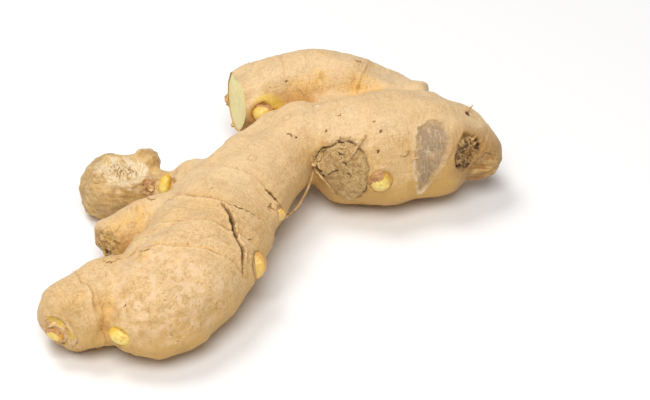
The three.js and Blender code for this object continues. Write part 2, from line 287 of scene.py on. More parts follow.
# Hollows and dark specks, whose dark is painted shade in their depths: where each is, its radius and its
# depth.
PITS = (
    (12.8, 13, 22.9, 1.7, 1.4), (14.6, 12.4, 20.6, 0.9, 0.8), (63.6, 15.6, 22.4, 1.2, 1.2),
    (70, 22.8, 26.4, 1, 1.2), (67.8, 22, 27.6, 0.7, 0.6), (67.4, 21, 24, 0.6, 0.6),
    (66, 18.6, 20.8, 0.9, 0.8), (65.6, 18.8, 26.6, 0.6, 0.6), (15.4, 19.1, 35.2, 0.6, 0.4),
    (4.7, 17.7, 33.6, 0.6, 0.3), (35.1, 16.7, 37, 0.6, 0.4), (34, 11.3, 32, 0.7, 0.4),
    (32.5, 20.6, 38.4, 0.5, 0.3), (0.6, 47.3, 37.7, 0.5, 0.3), (68, 33.4, 34, 1, 0.4),
    (-50.5, -63.6, 24.5, 0.7, 0.3), (-66.5, -22, 15, 1.1, 0.9), (-65, -24, 12, 1.3, 1),
    (-67, -18, 10, 1.4, 1), (-60.4, 16.1, 21.7, 0.35, 0.4), (-55.5, 14.5, 22, 0.35, 0.4),
    (-47, 7.4, 15, 0.7, 0.5), (-66.8, -21, 13.6, 1, 0.8), (-62.6, -25, 12.6, 0.9, 0.8),
    (-24, -12, 33, 0.4, 0.2), (-64, -25.5, 8, 1, 0.8),
)

# Round scars of old roots: where each is, its radius and how pale its middle is.
ROOT_SCARS = (
    (-19.7, -57.9, 19.7, 2.6, 0.2), (-10.8, 5.3, 33.4, 2.6, 0), (0.6, 26.1, 37.3, 2.8, 0.2),
    (12.2, 34.2, 35.2, 2.7, 1), (-58, -40, 27, 1.6, 0.3), (26, 34, 40, 1.2, 0),
)

SMALL_SCARS = 70  # more of them, strewn over the skin
SMALL_SCAR_RADII = (0.5, 1.15)
SMALL_SCAR_PALE = 0.6  # how pale the palest is

# Where the skin is thin and yellow over young growth, and where it is more orange: the place and the radius.
YELLOW_SPOTS = (
    (-6.5, 41.4, 30.1, 5.8), (-3, 43.2, 30.4, 2.8), (-75, -65, 11.6, 3.4), (-76.5, -62.5, 17, 1.6),
    (-73, -64.5, 17, 1.8), (-69, -66, 13.6, 1.6), (-42.6, 7.2, 19, 2.4), (-9, -35, 18.5, 5),
    (-52.3, -68.4, 15.4, 4.4), (-0.8, -9, 19.5, 3),
)
ORANGE_SPOTS = (
    (-58, -21, 20, 9), (-50, -16, 23, 9), (28.5, 45.6, 37, 8), (33, 43, 36, 6), (6, 46, 34.6, 7),
    (12, 48, 38, 7), (-57, -61, 23, 5), (-56.3, -64.6, 19, 3.6), (-57, -66, 14.5, 3.6), (-12, -34, 22, 5),
    (-46, -46, 30, 5), (72, 21, 21, 8), (70, 22, 12, 8),
)

# Where the root departs a little from its lobes: the place, how wide this is and how far inward it goes.
DENTS = (
    (-17, 55, 38.5, 8, 2.8), (38.5, 57, 38.5, 10, 3), (48, 52, 37.5, 9, 1.6), (54, 44, 34.5, 5, -1.2),
    (-9, 27, 35.5, 8, 3.2), (-3, 31, 36.8, 6, 1.6), (-13, 25, 34.5, 7, 2.2), (14, 40, 35.1, 3.4, 1.4),
    (20, 38.5, 37.2, 3.4, 1.3), (27, 41.5, 36.4, 3.4, 1.2), (34, 44.1, 36.8, 3.2, 0.9),
    (72.5, 34.4, 31.4, 8, 1.8), (-72.5, -50, 26.3, 9, 1.9), (-2.6, -12.5, 22, 3.5, -1.1),
    (-46, 12, 21.5, 4.5, 2.6), (71.2, 20, 17.5, 3.2, 1.9), (69, 22, 11.6, 3, 1),
    (-56.5, -62.5, 21.5, 2.8, 1.3), (-56.6, -65, 18, 2.8, 1.3), (-57.2, -66, 14, 2.8, 1.3),
    (-41, 13, 22, 3.5, 1.6),
)

# Dry rootlets: the points that each runs through, and its thickness at the start and at the end.
ROOTLETS = (
    (((-1, -7.4, 16), (2.5, -1.5, 13.6), (6, 4.6, 13.6), (9.4, 11.6, 17), (11, 14.8, 21.6)), 1.1, 0.7),
    (((11, 14.6, 21.8), (14.2, 10.2, 20.4), (17, 8.8, 17.4), (19, 8.2, 14.2)), 1.0, 0.6),
    (((22.6, 9.2, 29.4), (24.4, 9.4, 31.6), (27.1, 12, 34.6), (29.8, 14.6, 37)), 1.5, 0.9),
    (((67, 33.6, 33.8), (68.4, 33.8, 35.4), (69.2, 35, 35.6)), 1.0, 0.5),
)
HAIRS = 70  # short hairs, strewn over the skin
HAIR_FLOOR = 3.0  # no hair grows below this height
HAIR_LENGTHS = (0.6, 1.6)
HAIR_THICKNESSES = (0.15, 0.35)
HAIR_TIP = 0.08
HAIR_ROOT = 0.3  # how far a hair starts below the skin

# Scraps of dry skin: the place, the way its free edge points, its length, its width and how far it lifts.
FLAKES = (
    (-57, -43.1, 27.2, -0.4, -1, 0, 5, 1.8, 0.5), (-54, -41, 26.8, -0.5, -1, 0, 4, 1.5, 0.4),
    (-50.5, -39.8, 27.4, -0.4, -1, 0, 4, 1.6, 0.4), (-45, -44, 32, -0.6, -1, 0, 5, 0.9, 0.3),
    (-46, -8, 26.5, -0.5, -1, 0, 4, 1.2, 0.4), (-48.5, 6.5, 19, -0.8, -0.6, 0.2, 4, 3, 1.6),
    (-48, 7.5, 20.5, 0.2, -0.7, 0.9, 3.5, 2.4, 1.2), (27, 55, 42, 0.4, -1, 0, 3.5, 1.1, 0.6),
    (19.8, 25.1, 38.9, 0.6, -1, 0, 2.6, 1.3, 0.6), (43.8, 13.3, 30.6, 0.6, -0.6, -0.6, 5, 1.8, 0.6),
    (46, 12.6, 28.2, 0.9, -0.5, -0.2, 5, 1.5, 0.5), (21, 13, 33.8, 0, -0.6, -1, 4, 1.2, 0.5),
    (15, 14.6, 30.8, 0.6, -0.4, -1, 4, 1.2, 0.5), (11, 15, 20, 0.6, -1, 0.6, 4, 1.6, 0.8),
    (11.4, 14.8, 25, 0.8, -1, -0.6, 4, 1.6, 1), (12.6, 14.4, 27.4, 0.8, -1, -0.8, 3.6, 1.4, 0.9),
    (13, 12.8, 24, 0.4, -0.6, 0.8, 3.6, 1.8, 1.1), (64, 19.4, 30.6, 0.4, -0.6, -1, 3.5, 1.8, 0.9),
    (68.6, 22.4, 30.2, 0, -0.5, -1, 3, 1.5, 0.8), (66, 18.6, 24, -1, -0.6, 0.4, 3.5, 2, 0.8),
    (-8.5, 42, 31.6, -0.2, -1, 0.2, 4, 1.6, 0.8), (-3.4, -11.6, 23.6, 0.2, -0.3, 1, 3, 1.6, 1),
    (-4.6, -12.6, 23.4, -0.6, -0.2, 1, 2.4, 1.2, 0.8), (-2.6, -10, 23, 0.6, -0.2, 1, 2.2, 1.2, 0.8),
)

SCRAP_ROWS = 5
SCRAP_COLUMNS = 13
SCRAP_THICKNESS = 0.16

# Torn skin round the knife cut: the way to it from the middle of the cut, as an angle, and its size.
TORN_SKIN = ((-0.35, 1.8), (-0.55, 1.1), (-1.3, 1.1))

# The camera looks down on the root from the front.
CAMERA_TARGET = np.array([15.0, 24.0, 0.0])
CAMERA_DISTANCE = 675.0
CAMERA_DOWN = math.radians(38)
CAMERA_LENS = 100.0
CAMERA_SENSOR = 36.0

# Lights, in metres and watts: the place, the width and the power of each.
LIGHTS = {
    "back_left": ((-0.42, 0.3, 1.25), 0.6, 7.7),
    "front": ((-0.05, -0.7, 1.28), 0.9, 14.6),
}
LIGHT_COLOUR = (1.0, 0.99, 0.97)
SKY = 0.26
FLOOR_SIZE = 4000.0
FLOOR_COLOUR = (0.9, 0.9, 0.91)

SPOT_SEED = 5
HAIR_SEED = 9
SCRAP_SEED = 13

# ---- Colours ----

TAN = (0.76, 0.49, 0.20)
PALE_TAN = (0.86, 0.61, 0.32)
PINK_TAN = (0.76, 0.46, 0.22)
GREY_TAN = (0.60, 0.41, 0.20)
ORANGE_TAN = (0.74, 0.39, 0.09)
PALE_PINK = (0.86, 0.60, 0.36)
PINK_BROWN = (0.52, 0.27, 0.12)
BROWN = (0.34, 0.17, 0.055)
DARK_BROWN = (0.07, 0.035, 0.013)
WARM_BROWN = (0.48, 0.25, 0.07)
# A deep brown for stains, also laid as painted shade round the hole and over the knob's end.
STAIN_AND_SHADE = (0.40, 0.20, 0.045)
# Painted shade: a warmer, darker tone laid on skin that faces sideways or down.
PAINTED_SHADE_AMBER = (0.63, 0.35, 0.06)
WARM = (0.86, 0.52, 0.17)
# Painted highlight: a paler tone laid on skin that faces up, where the lights fall most.
PAINTED_TOP_HIGHLIGHT = (0.90, 0.69, 0.44)
GREY = (0.33, 0.22, 0.13)
WHITE_FIBRE = (0.74, 0.60, 0.42)
CREAM = (0.88, 0.74, 0.52)
BARK = (0.56, 0.33, 0.10)
PALE_BARK = (0.74, 0.49, 0.19)
YOUNG_YELLOW = (0.77, 0.51, 0.08)

BUD_YELLOW = (0.84, 0.56, 0.06)
BUD_TIP = (0.95, 0.78, 0.22)
BUD_RIM = (0.52, 0.25, 0.05)
BUD_AMBER = (0.76, 0.40, 0.09)
BUD_SPECK = (0.55, 0.26, 0.06)
BUD_ORANGE = (0.80, 0.43, 0.14)
BUD_SCALE = (0.58, 0.31, 0.13)

FLESH = (0.98, 0.82, 0.33)
PALE_FLESH = (0.99, 0.88, 0.45)
FLESH_FIBRE = (0.66, 0.55, 0.20)
FLESH_RING = (0.62, 0.55, 0.22)
FLESH_RIM = (0.78, 0.56, 0.28)

DRY_SKIN = (0.66, 0.44, 0.2)
DARK_DRY_SKIN = (0.42, 0.24, 0.09)

# How far light of each colour goes below the surface, metres.
BUD_GLOW = (0.003, 0.0015, 0.0005)
FLESH_GLOW = (0.003, 0.002, 0.0008)


# ---- Noise ----

LATTICE_STEPS = (374761393, 668265263, 2246822519)
LATTICE_MIX = 1274126177
SEED_STEP = 7.31  # how far apart two seeds read the lattice


def lattice(cells, seed):
    """A random number from -1 to 1 for each point of a whole-number lattice."""
    steps = np.array(LATTICE_STEPS, np.uint32)
    mixed = (cells.astype(np.int64).astype(np.uint32) * steps).sum(axis=1, dtype=np.uint32)
    mixed = mixed + np.uint32((seed * 40503 + 12345) % 2**32)
    mixed = (mixed ^ (mixed >> 13)) * np.uint32(LATTICE_MIX)
    mixed = mixed ^ (mixed >> 16)
    return mixed / 2.0**31 - 1.0


def noise(points, length, seed):
    """Smooth noise from -1 to 1 whose lumps are about length across."""
    scaled = points / length + seed * SEED_STEP
    base = np.floor(scaled)
    part = scaled - base
    ease = part**3 * (part * (part * 6 - 15) + 10)
    total = np.zeros(len(points))
    for corner in np.ndindex(2, 2, 2):
        share = np.prod(np.where(corner, ease, 1 - ease), axis=1)
        total += share * lattice(base + corner, seed)
    return total


def fractal(points, length, octaves, seed):
    """Noise with ever smaller lumps. Each use of noise has a seed of its own."""
    return sum(0.5**i * noise(points, length / 2**i, seed + i) for i in range(octaves))


def bell(x):
    """1 at 0, falling to both sides."""
    return np.exp(-(x**2))


def ramp(x, low, high):
    """0 below low, 1 above high and smooth between. low may be the higher one."""
    share = np.clip((x - low) / (high - low), 0, 1)
    return share * share * (3 - 2 * share)


# ---- Places on the root ----


def unit(vector):
    vector = np.asarray(vector, float)
    return vector / np.linalg.norm(vector, axis=-1, keepdims=True)


def distance_to(place, points):
    return np.linalg.norm(points - np.asarray(place), axis=1)


def facing(faces):
    """The side, top and outward directions of something that faces a direction."""
    outward = unit(faces)
    side = unit(np.cross((0, 0, 1), outward))
    return side, np.cross(outward, side), outward


def turns(sides):
    """The angles of that many points round a circle."""
    return np.arange(sides) / sides * 2 * math.pi


def pairs(first, second):
    """Every pair of the two sets of numbers, with the second set running fastest."""
    return (numbers.ravel() for numbers in np.meshgrid(first, second, indexing="ij"))


def tube_faces(rings, sides, start=0):
    """The faces between rings of points, one ring after another."""
    faces = []
    for row in range(start, start + (rings - 1) * sides, sides):
        for i in range(sides):
            a, b = row + i, row + (i + 1) % sides
            faces.append((a, b, b + sides, a + sides))
    return faces


def turned(faces):
    """The same faces, each from the same point the other way round."""
    return [face[:1] + face[:0:-1] for face in faces]


def spline(points, steps):
    """Points along a Catmull-Rom curve through the points, with that many steps between each two."""
    points = np.asarray(points, float)
    ends = np.vstack([2 * points[0] - points[1], points, 2 * points[-1] - points[-2]])
    share = np.linspace(0, 1, steps, endpoint=False)[:, None]
    pieces = []
    for before, start, end, after in zip(ends, ends[1:], ends[2:], ends[3:]):
        leave = (end - before) / 2
        arrive = (after - start) / 2
        pieces.append(
            (2 * share**3 - 3 * share**2 + 1) * start
            + (share**3 - 2 * share**2 + share) * leave
            + (3 * share**2 - 2 * share**3) * end
            + (share**3 - share**2) * arrive
        )
    return np.vstack(pieces + [points[-1:]])


def swell(points):
    """Broad lumps of the skin, millimetres outward."""
    k = 2 * math.pi / SWELL_LENGTH
    x, y, z = points.T
    return SWELL * (
        np.sin(k * (x + 0.6 * z)) * np.cos(k * 1.3 * y)
        + 0.5 * np.sin(k * 1.9 * (y - 0.7 * x) + 2 * np.cos(k * z))
    )


def cap_share(distance, length):
    """The share of its full girth that a lobe has near a rounded end."""
    x = 1 - np.clip(distance / length, 0, 1)
    return (1 - x**CAP_POWER) ** (1 / CAP_POWER)


class Lobe:
    """A finger or knob, swept along a curved centre line."""

    STEPS = 24
    CAP_ROWS = 14
    OUTSIDE = 99.0  # the distance given far from the lobe
    MARGIN = 9.0
    BLOCK = 4000  # points worked out at a time

    def __init__(self, stations, caps, rings, lean, lean_angle):
        dense = spline(stations, self.STEPS)
        self.centre = dense[:, :3]
        self.girth = dense[:, 3:]
        self.caps = caps
        self.rings = rings
        self.lean = lean
        self.lean_angle = lean_angle
        gaps = np.linalg.norm(np.diff(self.centre, axis=0), axis=1)
        self.along = np.concatenate([[0], np.cumsum(gaps)])
        self.length = self.along[-1]
        self.tangent = unit(np.gradient(self.centre, self.along, axis=0))
        self.side = unit(np.cross(self.tangent, (0, 0, 1)))
        self.top = np.cross(self.side, self.tangent)
        reach = self.girth.max() + self.MARGIN
        self.low = self.centre.min(0) - reach
        self.high = self.centre.max(0) + reach

    def at(self, values, distance):
        """Values of the centre line at distances from the tip."""
        return np.stack([np.interp(distance, self.along, v) for v in values.T], axis=-1)

    def share(self, distance):
        """The share of its full girth that the lobe has at distances from the tip."""
        return cap_share(distance, self.caps[0]) * cap_share(self.length - distance, self.caps[1])

    def surface(self, pitch):
        """The lobe as a closed mesh: vertices and faces."""
        caps = np.sin(np.linspace(0, math.pi / 2, self.CAP_ROWS))
        tip = self.caps[0] * (1 - caps[::-1])
        root = self.length - self.caps[1] * (1 - caps)
        middle = np.linspace(self.caps[0], self.length - self.caps[1], int(self.length / pitch))
        rows = np.unique(np.concatenate([tip, middle, root]).round(3))[1:-1]
        sides = int(2 * math.pi * self.girth.max() / pitch)
        first, last = 0, 1 + len(rows) * sides
        faces = [(first, 1 + i, 1 + (i + 1) % sides) for i in range(sides)]
        faces += turned(tube_faces(len(rows), sides, start=1))
        faces += [(last - sides + i, last, last - sides + (i + 1) % sides) for i in range(sides)]
        rows, angle = pairs(rows, turns(sides))
        share = self.share(rows)
        girth = self.at(self.girth, rows) * share[:, None]
        outward = (
            self.at(self.side, rows) * (np.cos(angle) * girth[:, 0])[:, None]
            + self.at(self.top, rows) * (np.sin(angle) * girth[:, 1])[:, None]
        )
        lean = share * (self.lean * np.cos(angle - self.lean_angle) + 0.5 * np.sin(3 * angle))
        points = self.at(self.centre, rows) + outward + self.at(self.tangent, rows) * lean[:, None]
        points += unit(outward) * (swell(points) * share)[:, None]
        return np.vstack([self.centre[:1], points, self.centre[-1:]]), faces

    def locate(self, points):
        """How far out of the lobe each point is, and its distance from the tip and two offsets across."""
        gap = np.full(len(points), self.OUTSIDE)
        across = np.zeros((len(points), 3))
        inside = np.flatnonzero(((points > self.low) & (points < self.high)).all(axis=1))
        for block in np.array_split(inside, max(1, len(inside) // self.BLOCK)):
            if not len(block):
                continue
            offset = points[block, None, :] - self.centre[None]
            nearest = (offset**2).sum(axis=2).argmin(axis=1)
            offset = offset[np.arange(len(block)), nearest]
            along = self.along[nearest] + (offset * self.tangent[nearest]).sum(axis=1)
            x = (offset * self.side[nearest]).sum(axis=1)
            y = (offset * self.top[nearest]).sum(axis=1)
            width, height = self.girth[nearest].T
            beyond = np.maximum(-along, 0) + np.maximum(along - self.length, 0)
            out = (np.hypot(x / width, y / height) - self.share(along)) * np.sqrt(width * height)
            gap[block] = out + beyond
            across[block] = np.stack([along, x, y], axis=1)
        return gap, across


lobes = [Lobe(**lobe) for lobe in LOBES.values()]
lobe_names = list(LOBES)


def outline_distance(points, at, faces, outline):
    """How far each point is outside a scar's outline (negative inside), and its place on the plane."""
    side, top, outward = facing(faces)
    offset = points - np.array(at)
    flat = np.stack([offset @ side, offset @ top], axis=1)
    corners = spline(outline + outline[:1], 4)[:-1]
    distance = np.full(len(points), FAR)
    inside = np.zeros(len(points), bool)
    for start, end in zip(corners, np.roll(corners, -1, axis=0)):
        run = end - start
        share = np.clip((flat - start) @ run / (run @ run), 0, 1)
        distance = np.minimum(distance, np.linalg.norm(flat - start - share[:, None] * run, axis=1))
        crosses = (start[1] > flat[:, 1]) != (end[1] > flat[:, 1])
        height = end[1] - start[1] if end[1] != start[1] else NO_HEIGHT
        inside ^= crosses & (flat[:, 0] < start[0] + (flat[:, 1] - start[1]) * run[0] / height)
    off = np.abs(offset @ outward) > SCAR_DEPTH
    return np.where(inside, -distance, distance) + np.where(off, OFF_SCAR, 0), flat


def line_distance(points, curve):
    """Each point's distance from a curve, its place along the curve from 0 to 1, and the way from there.

    Points more than LINE_REACH from the curve's box are left at LINE_FAR.
    """
    distance = np.full(len(points), LINE_FAR)
    share = np.zeros(len(points))
    beside = np.zeros((len(points), 3))
    low, high = curve.min(0) - LINE_REACH, curve.max(0) + LINE_REACH
    near = np.flatnonzero(((points > low) & (points < high)).all(axis=1))
    nearest = np.full(len(near), FAR)
    for i, (start, end) in enumerate(zip(curve, curve[1:])):
        run = end - start
        part = np.clip((points[near] - start) @ run / (run @ run), 0, 1)
        offset = points[near] - start - part[:, None] * run
        away = np.linalg.norm(offset, axis=1)
        closer = away < nearest
        nearest[closer] = away[closer]
        share[near[closer]] = ((i + part) / (len(curve) - 1))[closer]
        beside[near[closer]] = offset[closer]
    distance[near] = nearest
    return distance, share, beside


# ---- Meshes ----


def mesh_object(name, vertices, faces):
    """A mesh object from points in the frame of the stations, in millimetres."""
    mesh = bpy.data.meshes.new(name)
    mesh.from_pydata(((np.asarray(vertices) - ORIGIN) * MM).tolist(), [], [list(map(int, f)) for f in faces])
    mesh.update()
    return add_object(name, mesh)


def add_object(name, data):
    added = bpy.data.objects.new(name, data)
    bpy.context.scene.collection.objects.link(added)
    return added


def vectors(items, name):
    flat = np.empty(len(items) * 3)
    items.foreach_get(name, flat)
    return flat.reshape(-1, 3)


def points_of(mesh):
    return vectors(mesh.vertices, "co") / MM + ORIGIN


def normals_of(mesh):
    return vectors(mesh.vertex_normals, "vector")


def set_points(mesh, points):
    mesh.vertices.foreach_set("co", ((points - ORIGIN) * MM).ravel())
    mesh.update()


def relax(mesh, points, rounds, share=0.5):
    """Moves each point towards the middle of its neighbours. share may differ from point to point."""
    edges = np.empty(len(mesh.edges) * 2, np.int64)
    mesh.edges.foreach_get("vertices", edges)
    edges = edges.reshape(-1, 2)
    ends = np.concatenate([edges[:, 0], edges[:, 1]])
    others = np.concatenate([edges[:, 1], edges[:, 0]])
    count = np.bincount(ends, minlength=len(points))
    share = np.broadcast_to(share, len(points))[:, None]
    for _ in range(rounds):
        sums = [np.bincount(ends, weights=axis[others], minlength=len(points)) for axis in points.T]
        points = points + share * (np.stack(sums, axis=1) / count[:, None] - points)
    return points


def set_attributes(mesh, **attributes):
    """Values at each point that a material reads: numbers or vectors."""
    for name, values in attributes.items():
        vector = np.ndim(values) == 2
        attribute = mesh.attributes.new(name, "FLOAT_VECTOR" if vector else "FLOAT", "POINT")
        attribute.data.foreach_set("vector" if vector else "value", np.asarray(values, np.float32).ravel())


def finished(piece, material):
    piece.data.materials.append(material)
    piece.data.shade_smooth()
    return piece


# ---- The skin ----
#
# Lengths, widths and heights are in millimetres. A fractal's numbers are the length of its lumps, how many
# sizes of them it has, and its seed.


def crease_share(gaps):
    """How far into a crease between lobes each point is, from 0 to 1, by how far out of each lobe it is."""
    order = np.sort(gaps, axis=0)
    return bell(np.clip(order[1] - np.minimum(order[0], 0.3), 0, None) / CREASE_WIDTH)


class Places:
    """What the relief and the colours of the skin are worked out from, for an array of points."""

    def __init__(self, points, curves):
        self.points = points
        found = [lobe.locate(points) for lobe in lobes]
        gaps = np.stack([gap for gap, _ in found])
        self.crease = crease_share(gaps)
        self.lobe = gaps.argmin(axis=0)
        self.across = np.stack([across for _, across in found])[self.lobe, np.arange(len(points))]
        self.past, self.plain = self.rings()
        self.dry = self.on("gnarled_finger", "gnarled_nub")
        self.scars = {}
        self.flat = {}
        for name, scar in SCARS.items():
            self.scars[name], self.flat[name] = outline_distance(points, **scar)
        wandering = points + np.stack([0.35 * noise(points, 1.7, seed) for seed in (62, 63, 64)], axis=1)
        self.splits = {name: line_distance(wandering, curve) for name, curve in curves.items()}

    def on(self, *names):
        """1 on the named lobes and 0 elsewhere."""
        return np.isin(self.lobe, [lobe_names.index(name) for name in names]) * 1.0

    def rings(self):
        """Signed distance past the nearest ring of a point's own lobe, and how plain that ring is there."""
        past = np.full(len(self.points), RING_FAR)
        plain = np.zeros(len(self.points))
        for i, lobe in enumerate(lobes):
            mine = self.lobe == i
            along, x, y = self.across[mine].T
            right = x / np.maximum(np.hypot(x, y), 1e-6)
            for distance, tilt, strength in lobe.rings:
                away = along - distance - tilt * right
                nearer = np.abs(away) < np.abs(past[mine])
                past[mine] = np.where(nearer, away, past[mine])
                plain[mine] = np.where(nearer, strength, plain[mine])
        ragged = 0.9 * noise(self.points, 7, 11) + 0.4 * noise(self.points, 2.2, 12)
        worn = ramp(fractal(self.points, 9, 2, 13), -0.45, 0.35)
        return past + ragged, plain * (0.25 + 0.75 * worn)

    def fine(self):
        """Where the skin's mesh is split finer."""
        fine = (np.abs(self.past - 0.4) < FINE_REACH) & (self.crease < 0.9) & (self.plain > 0.2)
        for distance in self.scars.values():
            fine |= distance < FINE_REACH
        for distance, _, _ in self.splits.values():
            fine |= distance < FINE_SPLIT_REACH
        return fine & (self.points[:, 2] > FINE_FLOOR)


def ring_relief(places):
    """A ridge, a groove and a step down at each ring, and a slight waist round it."""
    past = places.past
    ridge = RING_RIDGE * bell((past + 0.4) / 0.7) - RING_GROOVE * bell((past - 0.7) / 0.7)
    step = -RING_STEP * ramp(past, -0.2, 0.3) * np.exp(-np.clip(past, 0, None) / 6)
    return places.plain * ((ridge + step) * (1 - 0.8 * places.crease) - RING_WAIST * bell(past / 5))


def skin_lumps(places):
    """Lumps, wrinkles and fibres of the skin between its features."""
    warty = places.on("main_finger") * ramp(places.across[:, 0], 30, 16)
    height = BROAD_LUMPS * fractal(places.points, 12, 2, 31)
    height += (SMALL_LUMPS + WARTS * warty) * fractal(places.points, 3.8, 3, 34)
    lengthwise = fractal(places.across / (6, 1, 1), 2.4, 2, 37)
    crosswise = fractal(places.across / (1, 5, 5), 2.2, 2, 39)
    wrinkles = LONG_WRINKLES * lengthwise + CROSS_WRINKLES * crosswise
    return height + (1 - places.crease) * wrinkles


def gnarl(places):
    """The deep furrows of the grey, dried-up finger."""
    furrows = (1 - places.crease) * fractal(places.across / (5, 1, 1), 2.2, 4, 41)
    return places.dry * (DRY_FURROWS * furrows + DRY_LUMPS * fractal(places.points, 3, 3, 43))


def scar_relief(places):
    """The sunk, raised, ribbed or crumbly floor of each scar, and the rim round it."""
    points = places.points
    ragged = 0.55 * noise(points, 2.6, 51) + 0.3 * noise(points, 1.0, 52)
    edge = {name: distance + ragged for name, distance in places.scars.items()}
    crumbs = fractal(points, 2.2, 3, 53)

    height = -GREY_DEPTH * ramp(edge["grey"], 0.5, -1.2) + GREY_RIM * bell((edge["grey"] - 0.5) / 0.7)

    gaps = edge["hole"] + 1.6 * noise(points, 3.6, 54)
    hole = -(HOLE_DEPTH + HOLE_CRUMBS * crumbs) * ramp(gaps, 0.4, -1.5)
    height += hole + HOLE_RIM * bell((gaps - 0.9) / 1.2)

    flakes = PLATE_HEIGHT + PLATE_HEIGHT * fractal(points, 6, 3, 56)
    height += flakes * ramp(edge["plate"], 0.25, -0.5) - PLATE_GROOVE * bell((edge["plate"] - 0.4) / 0.6)

    height += -BOWL_DEPTH * ramp(edge["bowl"], 0.3, -4) + BOWL_RIM * bell((edge["bowl"] - 0.3) / 0.9)
    x, y = places.flat["bowl"].T
    around = np.arctan2(y, x) + 0.18 * np.hypot(x, y) + 0.25 * fractal(points, 5, 2, 57)
    height += BOWL_RIBS * np.sin(around * 23) * ramp(edge["bowl"], 1.5, 0.5) * ramp(np.hypot(x, y), 1, 4)

    away = np.linalg.norm(places.flat["front_tip"], axis=1) + 1.2 * fractal(points, 4, 3, 59)
    height += (TIP_RINGS * np.sin(away * 2.4) - 0.25 + 0.5 * crumbs) * ramp(edge["front_tip"], 0.4, -0.8)

    height += (-0.5 + 0.8 * crumbs) * ramp(edge["side_tip"], 0.6, -1.2)
    return height + (-0.4 + 0.5 * fractal(points, 3.5, 3, 58)) * ramp(edge["knob_tip"], 0.4, -0.8)


def split_relief(places, pits):
    """The height of the splits and their lips, and the painted shade in the depths of the splits and pits."""
    height = np.zeros(len(places.points))
    dark = np.zeros(len(places.points))
    ragged = 1 + 0.35 * noise(places.points, 2.5, 61)
    for name, (half_width, depth, _) in SPLITS.items():
        distance, share, beside = places.splits[name]
        taper = np.sqrt(np.clip(4.4 * share * (1 - share), 0, 1))
        width = np.maximum(half_width * taper * ragged, 0.05)
        height -= depth * taper * ramp(distance, width * 1.3, width * 0.2)
        height += 0.3 * half_width * taper * bell((distance - width * 1.5) / 0.7)
        dark = np.maximum(dark, min(1, half_width / 0.28) * taper * ramp(distance, width * 1.15, width * 0.5))
        if name == "long":
            lip = LONG_SPLIT_LIP * taper * (beside[:, 0] > 0) * np.exp(-distance / 3.5)
            height += lip * ramp(distance, 0.2, 0.9)
    for *place, radius, depth in pits:
        away = distance_to(place, places.points) / radius * ragged
        height += 0.3 * depth * bell((away - 1.3) / 0.3) - depth * ramp(away, 1.1, 0.3)
        dark = np.maximum(dark, ramp(away, 1.05, 0.55))
    return height, dark


def root_scar_relief(points, spots):
    """Raised rings with a pip in the middle, where roots have dropped off."""
    height = np.zeros(len(points))
    for *place, radius, _ in spots:
        away = distance_to(place, points) / radius
        ring = 0.28 * bell((away - 0.85) / 0.2) - 0.22 * bell((away - 0.5) / 0.25)
        height += ring + 0.25 * bell(away / 0.25)
    return height


def collar_relief(points, normals):
    """The collar of skin round each bud, on the skin that faces the way the bud does."""
    height = np.zeros(len(points))
    for bud in BUDS.values():
        away = distance_to(bud.at, points) - bud.radius
        wide = 0.4 * bud.collar
        fold = bud.collar * bell((away - 1.1 - wide) / (0.7 + wide)) - 0.3 * bell(away / 0.5)
        height += fold * ramp(normals @ unit(bud.faces), 0.1, 0.5)
    return height


def scattered_spots(points, count):
    """Small root scars all over the skin: the place of each, its radius and how pale its middle is."""
    draw = np.random.default_rng(SPOT_SEED)
    chosen = points[draw.choice(len(points), count, replace=False)]
    radii = draw.uniform(*SMALL_SCAR_RADII, count)
    return np.column_stack([chosen, radii, draw.uniform(0, SMALL_SCAR_PALE, count)])


class Surface:
    """A mesh to set other things on."""

    def __init__(self, mesh):
        self.points = points_of(mesh)
        self.normals = normals_of(mesh)
        self.tree = KDTree(len(self.points))
        for i, point in enumerate(self.points):
            self.tree.insert(point, i)
        self.tree.balance()

    def nearest(self, place):
        index = self.tree.find(place)[1]
        return self.points[index], self.normals[index]

    def settle(self, table):
        """The rows of a table with the place that each starts with moved onto the surface."""
        settled = np.array(table, float)
        for row in settled:
            point, normal = self.nearest(row[:3])
            row[:3] -= normal * ((row[:3] - point) @ normal)
        return settled


def join_lobes():
    """One smooth mesh round all the lobes."""
    shells = mesh_object("shells", *gathered(lobe.surface(VOXEL * 1.2) for lobe in lobes))
    modifier = shells.modifiers.new("join", "REMESH")
    modifier.mode = "VOXEL"
    modifier.voxel_size = VOXEL * MM
    graph = bpy.context.evaluated_depsgraph_get()
    mesh = bpy.data.meshes.new_from_object(shells.evaluated_get(graph))
    bpy.data.objects.remove(shells)
    points = relax(mesh, points_of(mesh), LOBE_SMOOTHING)
    crease = crease_share(np.stack([lobe.locate(points)[0] for lobe in lobes]))
    points = relax(mesh, points, CREASE_SMOOTHING, 0.6 * crease)
    set_points(mesh, points)
    inward = np.zeros(len(points))
    for *place, width, depth in DENTS:
        inward += depth * bell(distance_to(place, points) / width)
    set_points(mesh, points - normals_of(mesh) * inward[:, None])
    return mesh


def gathered(parts):
    """All the vertices and faces of several shapes."""
    vertices = []
    faces = []
    for points, polygons in parts:
        start = len(vertices)
        vertices += points.tolist()
        faces += [[start + i for i in face] for face in polygons]
    return vertices, faces


def split_fine_parts(mesh, curves):
    """Splits the mesh finer where rings, scars and splits need it."""
    fine = Places(points_of(mesh), curves).fine()
    shape = bmesh.new()
    shape.from_mesh(mesh)
    faces = [face for face in shape.faces if any(fine[v.index] for v in face.verts)]
    edges = list(dict.fromkeys(edge for face in faces for edge in face.edges))
    bmesh.ops.subdivide_edges(shape, edges=edges, cuts=1, use_grid_fill=True)
    shape.to_mesh(mesh)
    shape.free()
    set_points(mesh, relax(mesh, points_of(mesh), 2))


def most_near(points, table, outer, inner):
    """How near each point is to a place of the table: 0 from outer radii on, 1 up to inner radii."""
    shares = [ramp(distance_to(place, points) / radius, outer, inner) for *place, radius in table]
    return np.max(shares, axis=0)


